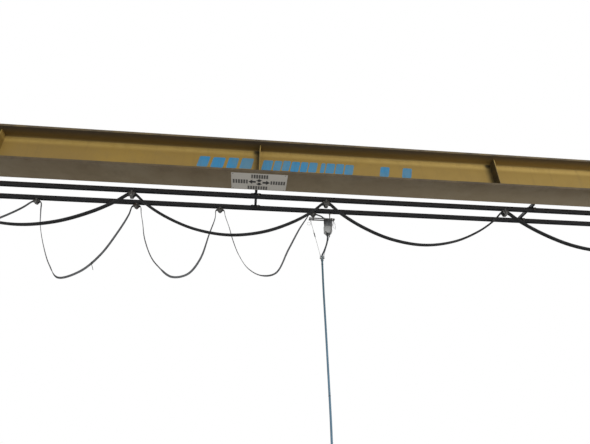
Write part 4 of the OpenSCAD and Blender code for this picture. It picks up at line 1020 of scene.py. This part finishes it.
def hoist_details():
    kit = Kit("hoist_drive_unit", "drive", "cowl", "bolt", slot="hoist_blue", angle=40)
    kit.lathe(H(272, DRUM_Y, DRUM_Z), X, [(115, 0), (115, 14), (108, 18), (100, 30)], 48)
    for k in range(8):
        kit.bolt(round_drum(288, 105, math.pi * (k + 0.5) / 4), X, 16, 8, True, 2)
    motor(kit, HOIST_X + 302, HOIST_X + 622, HOIST_X + 692, DRUM_Y, DRUM_Z, 95, 99, 36)
    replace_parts(kit.done(), "hoist_motor")
    gear = Kit("hoist_gear_unit", "drive", "cowl", "bolt", slot="hoist_blue", angle=40)
    rise = 90
    gear_case(gear, HOIST_X - 272, HOIST_X - 392, DRUM_Y, DRUM_Z, 115, rise, 16)
    gear.lathe(H(-392, DRUM_Y, DRUM_Z + rise), -X, [(60, 0), (60, 28), (55, 36), (40, 40)], 40, 1)
    for a, b in circle(44, 4, 0.5):
        gear.bolt(H(-431, DRUM_Y + a, DRUM_Z + rise + b), -X, 9, 4, False, 2)
    gear.lathe(H(-332, DRUM_Y, -128), Z, [(12, 0), (12, 10), (8, 16), (0, 18)], 20, 2)
    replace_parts(gear.done(), "hoist_gearbox")
    bolts = Kit("hoist_bolts", "bolt", slot="axle_steel")
    for side in BOTH:
        for dx in (-200, 200):
            bolts.bolt(H(dx, side * 177, -60), Y * side, 36, 18, stub=10)
        for dx in (-180, 180):
            bolts.bolt(H(dx, side * 177, 79.3), Y * side, 30, 16, stub=8)
    for side, (y, z) in product(BOTH, ((-200, -90), (-30, -412), (145, -382), (100, -110))):
        bolts.bolt(H(side * 272, y, z), X * side, 26, 13, stub=8)
    bolts.done()
    beads = Kit("hoist_welds", "carriage", slot="crane_yellow", angle=60)
    for side, dx in product(BOTH, (-200, 200)):
        weld_round(beads, [H(dx + a, side * 164, -60 + b) for a, b in circle(21, 16)], 3, 5)
    beads.done()
    anchor = Kit("rope_anchor", "zinc_dark", "bolt", "rope", slot="hoist_blue", angle=40)
    anchor.box(H(0, FALL_Y, -166), (30, 36, 72), 0, 6)
    anchor.box(H(0, FALL_Y, -120), (44, 44, 30), 0, 4)
    anchor.bolt(H(-22, FALL_Y, -150), -X, 20, 9, True, 1)
    anchor.bolt(H(22, FALL_Y, -150), X, 20, 9, True, 1, 6)
    anchor.tube([H(0, 112, -196), H(0, 114, -230), H(0, 118, -262), H(1, 123, -290)], 5, 8, 2)
    anchor.box(H(0, 107, -232), (18, 30, 14), 0, 3)
    anchor.done()


def block_fittings():
    kit = Kit("block_fittings", "bolt", "block", slot="block_yellow", angle=40)
    for side in BOTH:
        kit.bolt(H(side * 36, 0, SHEAVE_Z), X * side, 34, 12, stub=6)
        for y, dz in ((-38, -30), (38, -30), (0, 42), (-30, -148), (30, -148)):
            kit.bolt(H(side * 30, y, SHEAVE_Z + dz), X * side, 15, 8, stub=4)
        kit.lathe(H(side * 30, 0, SHEAVE_Z), X * side, [(34, 0), (34, 4), (30, 6)], 32, 1)
    kit.lathe(H(0, 0, HOOK_Z + 86), Z, [(26, 0), (29, 3), (29, 14)], 24)
    kit.done()


def forged_hook():
    """The shank, the bowl that thins out to a point, and the safety latch."""
    hook = Kit("forged_hook", "hook", "bolt", slot="hook_steel", angle=50)
    shank = ((98, 17), (88, 17), (80, 17.5), (73, 18.5))
    line = [H(0, 0, HOOK_Z + z) for z, r in shank]
    wide = [r for z, r in shank]
    deep = list(wide)
    for k in range(45):
        share = k / 44
        a = math.radians(72 - 258 * share)
        line.append(H(66 * math.cos(a), 0, HOOK_Z + 66 * math.sin(a)))
        bulk = 19 + 3.2 * math.sin(math.pi * min(1.0, share * 1.25)) - 10.5 * max(0.0, share - 0.62) / 0.38
        wide.append(bulk * (0.92 - 0.08 * math.sin(math.pi * share)))
        deep.append(min(21.0, bulk))
    wide[-1], deep[-1] = 5.0, 5.0
    hook.skin(ring_rows(line, lambda i: [(wide[i] * a, deep[i] * b) for a, b in circle(1, 24)], Y))
    mid, d = Vector((-34.5, 0, 34)), Vector((-43, 0, -52))
    tilt = Matrix.Rotation(math.atan2(d.x, d.z), 3, "Y")
    hook.box(H(mid.x, 0, HOOK_Z + mid.z), (3, 22, d.length), 1, 1, tilt)
    for side in BOTH:
        hook.box(H(mid.x + 4, side * 11, HOOK_Z + mid.z + 3), (9, 2.4, d.length * 0.86), 1, 0.8, tilt)
    hook.rod(H(-12, -21, HOOK_Z + 62), H(-12, 21, HOOK_Z + 62), 4.5, 16, 1, 1)
    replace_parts(hook.done(), "lifting_hook")


# Control cabinet and hoist box

def cabinets():
    kit = Kit("cabinet_fittings", "grey_box", "cap", "bolt", slot="box_grey", angle=40)
    door_y, door_z, left, right = 596, 273, CABINET_X - 210, CABINET_X + 210
    wall(kit, rounded(376, 402, 6), door_y + 7, door_y + 10, CABINET_X, door_z, 0, 1.2)
    wall(kit, rounded(386, 412, 4), door_y + 0.5, door_y + 3.5, CABINET_X, door_z, 1)
    for z in (120, 426):
        kit.rod(P(left + 14, door_y + 8, z - 24), P(left + 14, door_y + 8, z + 24), 6, 16, 2, 1)
        kit.box(P(left + 8, door_y + 2.5, z), (16, 5, 44), 2, 1)
    for z in (160, 386):
        kit.lathe(P(right - 40, door_y + 10, z), Y, [(14, 0), (14, 3), (11, 7), (4, 7), (4, 4)], 28, 1)
    for side, x in ((-1, left), (1, right)):
        for k in range(6):
            kit.box(P(x + side * 2.5, 416, 360 + 15 * k), (7, 130, 4), 0, 1,
                    Matrix.Rotation(math.radians(32 * side), 3, "Y"))
        for y, z in product((256, 576), (70, 476)):
            kit.bolt(P(x, y, z), X * side, 10, 4, False, 2)
    for y in (HOIST_Y, PENDANT_Y):
        kit.lathe(P(CABINET_X, y, 52), -Z, [(31, 0), (31, 6)], 6, 1)
        ribs(kit, lambda a, b: P(CABINET_X + a, y + b, 31), (2.2, 2.2, 16))
    kit.done()
    box = Kit("hoist_box_fittings", "grey_box", "cap", "bolt", slot="box_grey", angle=40)
    mid_x, mid_z, gland_z = 290, -245, -260
    wall(box, rounded(272, 222, 8), 337, 342, HOIST_X + mid_x, mid_z, 0, 1.8)
    wall(box, rounded(277, 227, 6), 334, 338.2, HOIST_X + mid_x, mid_z, 1)
    for dx, dz in product((-124, 124), (-99, 99)):
        box.bolt(H(mid_x + dx, 342, mid_z + dz), Y, 10, 4, True, 2)
    box.lathe(H(150, HOIST_Y, gland_z), -X, [(31, 0), (31, 7)], 6, 1)
    ribs(box, lambda a, b: H(132, HOIST_Y + a, gland_z + b), (16, 2.2, 2.2))
    for x in (200, 380):
        box.bolt(H(x, 250, -130), Z, 16, 8, True, 2)
    box.done()


# Cable trolleys

def carriage_of(kit, x, y):
    """Rollers, body and bumpers of a trolley in its track; materials are plate, plastic and bolts."""
    roller_z = -6.7
    for dx in (-21.3, 21.3):
        for side in BOTH:
            kit.lathe(P(x + dx, y + side * 6, roller_z), Y * side, [
                (9.2, 0), (10, 1), (10, 6), (9.2, 7), (5, 7), (4.5, 6)], 20, 1)
        kit.rod(P(x + dx, y - 14, roller_z), P(x + dx, y + 14, roller_z), 3, 10, 2, 0.5)
    for side in BOTH:
        kit.box(P(x, y + side * 3.5, -14.5), (64, 3, 31), 0, 0.8)
        kit.lathe(P(x + side * 32, y, -24), X * side, [(5, 0), (5.5, 4), (3, 7)], 14, 1)
    kit.box(P(x, y, -27.5), (64, 10, 5), 0, 1)


def saddle_of(kit, x, y, w, t, depth):
    """Clamp plate, bolts and the tapered saddle that a flat cable lies on."""
    low = -34 - t
    kit.box(P(x, y, -32), (24, w + 30, 4), 0, 1)
    kit.box(P(x, y, low - 21.5), (20, w + 34, 5), 0, 1)
    cheek = [(-36.5, t - 4), (-33, t - 1), (33, t - 1), (36.5, t - 4), (16, -depth + 3), (13, -depth),
             (-13, -depth), (-16, -depth + 3)]
    for side in BOTH:
        at, inner = y + side * (w / 2 + 10), y + side * (w / 2 + 1)
        kit.rod(P(x, at, low - 27), P(x, at, -23), 4, 14, 2, 0.8)
        kit.bolt(P(x, at, -30), Z, 13, 6, True, 2)
        kit.bolt(P(x, at, low - 24), -Z, 13, 6, True, 2)
        wall(kit, cheek, inner, inner + side * 3, x, low, 0, 0.8)
    top = [(-36, -12.6), (-30, -8.4), (-22, -3.8), (-12, -0.3), (12, -0.3), (22, -3.8), (30, -8.4), (36,
            -12.6)]
    wall(kit, top + [(a, b - 3) for a, b in reversed(top)], y - w / 2 - 1, y + w / 2 + 1, x, low)
    kit.box(P(x, y, low - depth + 1.5), (28, w + 3, 3), 0, 0.8)


def trolleys():
    for name, replaced, xs, *sizes in (
            ("hoist_trolley", "hoist_cable_trolleys", HOIST_XS, HOIST_Y, 40, 16.6, 40),
            ("pendant_line_trolley", "pendant_cable_trolleys", PENDANT_XS[:-1], PENDANT_Y, 22, 6, 32)):
        for i, x in enumerate(xs):
            kit = Kit("%s_%d" % (name, i + 1), "zinc", "cap", "bolt", slot="trolley_zinc", angle=40)
            carriage_of(kit, x, sizes[0])
            saddle_of(kit, x, *sizes)
            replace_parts(kit.done(), replaced)


def pendant_carrier():
    """Two trolleys with the bar that joins them and the eyes for the strain wires."""
    y = PENDANT_Y
    left, right = CARRIER_XS
    kit = Kit("pendant_carrier", "zinc", "cap", "bolt", slot="trolley_zinc", angle=40)
    carriage_of(kit, left, y)
    saddle_of(kit, left, y, 22, 6, 34)
    carriage_of(kit, right, y)
    kit.box(P(right, y, -70), (10, 10, 86), 0, 1.5)
    kit.bolt(P(right, y - 5, -40), -Y, 10, 5, True, 2)
    for side in BOTH:
        kit.box(P(CARRIER_MID, y + side * 18, CARRIER_Z), (270, 4, 14), 0, 0.8)
    for x, w in ((left, 16), (right, 10), (left - 40, 10), (right + 40, 10)):
        kit.box(P(x, y, CARRIER_Z), (w, 32, 13.5), 0, 1)
        for side in BOTH:
            kit.bolt(P(x, y + side * 20, CARRIER_Z), Y * side, 10, 5, True, 2, 2)
    kit.box(P(left, y, -89), (16, 36, 20), 0, 1)
    for side in BOTH:
        x = CARRIER_MID + side * EYE_DX
        eye(kit, P(x, y - 26, -116), Y, 10, 3.8, 2)
        kit.rod(P(x, y - 27, -106), P(x, y - 20, -106), 4, 14, 2, 0.8)
    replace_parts(kit.done(), "pendant_trolley")


def junction():
    x, y = JUNCTION_X, PENDANT_Y
    plate = Kit("junction_plate", "zinc_dark", "bolt", slot="junction_grey")
    outline = [(-46, -186), (46, -186), (46, -98), (32, -98), (32, -114), (18, -114), (18, -98), (-46, -98)]
    wall(plate, outline, y - 16, y - 12, x, 0, 0, 0.6)
    for dx in (-36, 40):
        plate.bolt(P(x + dx, y - 20, CARRIER_Z), -Y, 12, 6, True, 1, 3)
        plate.bolt(P(x + dx * 0.9, y - 16, -179), -Y, 9, 4, True, 1)
    plate.done()
    kit = Kit("junction_housing", "junction", "cap", "bolt", slot="junction_grey", angle=40)

    def outline_of(w, h, cut):
        right = [(w / 2 - 6, 0), (w / 2, -6), (w / 2, -h + cut), (w / 2 - cut, -h)]
        return [(-w / 2 + 6, 0)] + right + [(-a, b) for a, b in right[:0:-1]]

    wall(kit, outline_of(84, 105, 22), y - 12, y + 44, x, -172, 0, 4)
    wall(kit, outline_of(76, 83, 20), y - 16.5, y - 11, x, -190, 0, 1.6)
    wall(kit, outline_of(80, 87, 21), y - 13, y - 11.4, x, -188, 1)
    for dx, z in ((-30, -197), (30, -197), (-24, -262), (24, -262)):
        kit.bolt(P(x + dx, y - 16.5, z), -Y, 7, 3, False, 2)
    gland(kit, P(x - 10, y, -277), -Z, 15.5, 30, 1)
    gland(kit, P(x - 26, y, -172), Z, 14.5, 30, 1)
    kit.lathe(P(x - 26, y, -142), Z, [(12, 0), (11.5, 12), (12.5, 14)], 18, 1)
    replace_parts(kit.done(), "junction_box")


def strain_wire(kit, a, b):
    """A wire of three strands between two points, with ferrules, an eye and a turnbuckle."""
    d = b - a
    unit = d.normalized()
    n = int(d.length / 0.006)
    line = [a + d * (i / n) for i in range(n + 1)]
    for strand in range(3):
        kit.skin(ring_rows(line, lambda i: strand_section(1, i * 0.9 + strand * 2.094, 0.9)))
    for share in (0.045, 0.30, 0.955):
        kit.lathe(a + d * share, unit, [(3, 0), (3.6, 2), (3.6, 12), (3, 14)], 14, 2)
    eye(kit, a + unit * 0.004, X, 6.5, 1.6)
    start, end = a + d * 0.37, a + d * 0.48
    for dx in (-0.004, 0.004):
        kit.rod(start + X * dx, end + X * dx, 1.7, 10, 1)
    for at in (start, end - unit * 0.007):
        kit.lathe(at, unit, [(4.8, 0), (5.4, 2), (5.4, 5), (4.8, 7)], 16, 1)
    kit.rod(start - unit * 0.014, start + unit * 0.016, 2.2, 10, 1)
    kit.rod(end - unit * 0.016, end + unit * 0.014, 2.2, 10, 1)


def strain_wires():
    y = PENDANT_Y
    kit = Kit("strain_wire_set", "zinc", "clamp", "bolt", slot="wire_steel", angle=50)
    for side in BOTH:
        strain_wire(kit, P(CARRIER_MID + side * EYE_DX, y - 26, -129), P(CLAMP_X + side * 17, y - 10, -550))
    for side, loop in (
            (1, [(0, -34), (9, -56), (11, -96), (4, -124), (-8, -118), (-9, -84), (0, -58), (8, -80), (13,
            -112),
                 (8, -140)]),
            (-1, [(0, -30), (7, -62), (-2, -88), (-22, -96), (-34, -84), (-30, -66), (-12, -64), (2, -78),
                  (6, -100)])):
        at = P(CARRIER_MID + side * EYE_DX, y - 28, CARRIER_Z)
        spots = [at + Vector((dx / 1000, -0.0006 * i, dz / 1000)) for i, (dx, dz) in enumerate(loop)]
        kit.tube(smooth(spots, 0.006), 1.1, 6)
    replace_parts(kit.done(), "strain_wires")


def strain_clamp():
    y = PENDANT_Y
    clamp = Kit("strain_clamp_halves", "clamp_pale", "bolt", slot="clamp_dark", angle=40)
    clamp.lathe(P(CLAMP_X, y, CLAMP_FOOT), Z, [
        (12, 0), (14.5, 2), (14.5, 8), (13, 10), (13, 18), (14.8, 20), (14.8, 26), (13, 28), (13, 35),
        (14.8, 37),
        (14.5, 42), (12, 44)])
    for side in BOTH:
        x = CLAMP_X + side * 17
        clamp.box(P(x, y - 8, -563), (10, 12, 30), 0, 2)
        clamp.bolt(P(x, y - 14, -572), -Y, 9, 4, True, 1)
        clamp.bolt(P(x, y - 2, -572), Y, 9, 4, True, 1, 3)
        eye(clamp, P(x, y - 8, -550), X, 5.2, 1.6, 1)
    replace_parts(clamp.done(), "strain_clamp")


def cable_ties():
    """One tie with a long tail on the pendant's flat cable, and two on the pendant cable."""
    y, line = PENDANT_Y, pendant_line
    ties = Kit("cable_ties", "cap", slot="cable_black")
    tied_x = P(-1552, 0, 0).x
    near = min(range(len(line) - 1), key=lambda i: abs(line[i].x - tied_x) - line[i].z * 0.01)
    at, along = line[near], (line[near + 1] - line[near]).normalized()
    ties.lathe(at - along * 0.003, along, band(9, 12.5, 0, 6), 20, 0, True)
    ties.box(at - Y * 0.0135, (8, 7, 8), 0, 1)
    tail = ((0, 0), (0.008, -0.030), (0.022, -0.062), (0.030, -0.080))
    ties.tube([at + Vector((x, -0.014, z)) for x, z in tail], 2.8, 6)
    for x, z in ((681, -640), (692, -1900)):
        ties.lathe(P(x, y, z), Z, band(9.8, 11.2, -2, 2), 24, 0, True)
        ties.box(P(x, y - 12, z), (5, 5, 4), 0, 0.6)
    ties.done()


# Marks on the girder, without words

def sign():
    """A plate with four arrows and plain bars."""
    plate = Kit("direction_sign", "sign", "bolt", slot="box_grey")
    low = -2.4
    plate.plate([(-267, -122), (277, -122), (275, 148), (-267, 148)], P(0, 0, low), X, Y, 2.2, 0, 0.6)
    for x, y in product((-250, 254), (-106, 132)):
        plate.bolt(P(x, y, low), -Z, 11, 1.8, False, 1)
    plate.done()
    arrows = Kit("sign_arrows", "ink", "ink_pale", slot="clamp_dark")
    shaft = [(-34, -14), (0, -14), (0, -36), (38, 0), (0, 36), (0, 14), (-34, 14)]
    short = [(-20, -15), (-2, -15), (-2, -34), (26, 0), (-2, 34), (-2, 15), (-20, 15)]
    for x, y, angle, outline in (
            (-62, 12, 180, shaft), (72, 20, 0, shaft), (5, 44, 90, short), (5, -10, -90, short)):
        arrows.plate(rotated(outline, angle), P(x, y, low - 0.6), X, Y, 0.6)
    for x0, x1, y0, y1 in (
            (-78, 92, -104, -44), (-256, -102, -18, 46), (112, 264, -12, 44), (-110, 92, 82, 140)):
        count = max(2, round((x1 - x0) / 26))
        step = (x1 - x0) / count
        for k in range(count):
            w = step * (0.62 + 0.14 * rnd.random())
            arrows.box(P(x0 + step * (k + 0.5), (y0 + y1) / 2, low - 0.3), (w, y1 - y0, 0.6), 1)
    arrows.done()


def web_marks():
    """Plain slanting blocks in worn blue on the web, where the photograph has painted marks."""
    bars = Kit("web_marks", "blue_mark", slot="crane_yellow")
    lean, r = 22, 10
    for x, w in ((-614, 104), (-480, 122), (-326, 100), (-196, 118), (20, 98), (134, 76), (222, 74), (308, 84),
                 (404, 72), (488, 84), (608, 44), (664, 88), (764, 82), (858, 88), (1226, 96), (1462, 98)):
        h, z = 128 + rnd.randint(-4, 4), 136 + rnd.randint(-3, 3)
        outline = [(r * 0.4, 0), (w - r, 0), (w, r), (w + lean, h - r), (w + lean - r, h), (lean + r, h),
                   (lean, h - r), (0, r)]
        bars.plate(outline, P(x, -WEB_T / 2 - 0.1, z), X, Z, 0.3)
    bars.done()


for make in (girder_details, arm_details, runway_details, carriage_details, travel_drives, drum_and_rope,
             hoist_details, block_fittings, forged_hook, cabinets, trolleys, pendant_carrier, junction,
             strain_wires, strain_clamp, cable_ties, sign, web_marks):
    make()


# Stage

def stage():
    floor = Shade("floor", (0.56, 0.55, 0.53))
    pale = floor.mix(floor.noise(3, 4).step(0.3, 0.7), (0.815, 0.815, 0.805), (0.825, 0.825, 0.815))
    floor.blend(floor.value("ShaderNodeLightPath", None, "Is Camera Ray"), pale)
    floor.finish(0.8)
    bpy.ops.mesh.primitive_plane_add(size=160, location=(MID_X / 1000, 0, (GIRDER_Z - 4200) / 1000))
    plane = bpy.context.object
    plane.name = "floor"
    plane.data.materials.append(floor.mat)
    world = bpy.data.worlds.new("world")
    bpy.context.scene.world = world
    world.use_nodes = True
    tree = world.node_tree
    tree.nodes.clear()
    rays = node(tree, "ShaderNodeLightPath").outputs
    seen = Value(tree, rays["Is Camera Ray"]) + rays["Is Glossy Ray"]
    seen = node(tree, "ShaderNodeMath", {0: seen, 1: rays["Is Transmission Ray"]}, operation="ADD",
                use_clamp=True).outputs[0]
    soft = node(tree, "ShaderNodeBackground", {"Color": (0.95, 0.97, 1.0), "Strength": 0.62}).outputs[0]
    white = node(tree, "ShaderNodeBackground", {"Color": (1, 1, 1), "Strength": 1.0}).outputs[0]
    mixed = node(tree, "ShaderNodeMixShader", {0: seen, 1: soft, 2: white}).outputs[0]
    node(tree, "ShaderNodeOutputWorld", {"Surface": mixed})
    for name, way, strength, angle in (
            ("key", (-0.34, 0.93, -0.12), 1.75, 30), ("fill", (0.5, -0.5, -0.75), 0.8, 50)):
        data = bpy.data.lights.new(name, "SUN")
        data.energy, data.angle = strength, math.radians(angle)
        lamp = bpy.data.objects.new(name, data)
        lamp.rotation_euler = Vector(way).to_track_quat("-Z", "Y").to_euler()
        bpy.context.scene.collection.objects.link(lamp)


stage()
bpy.context.scene.view_settings.view_transform = "Standard"
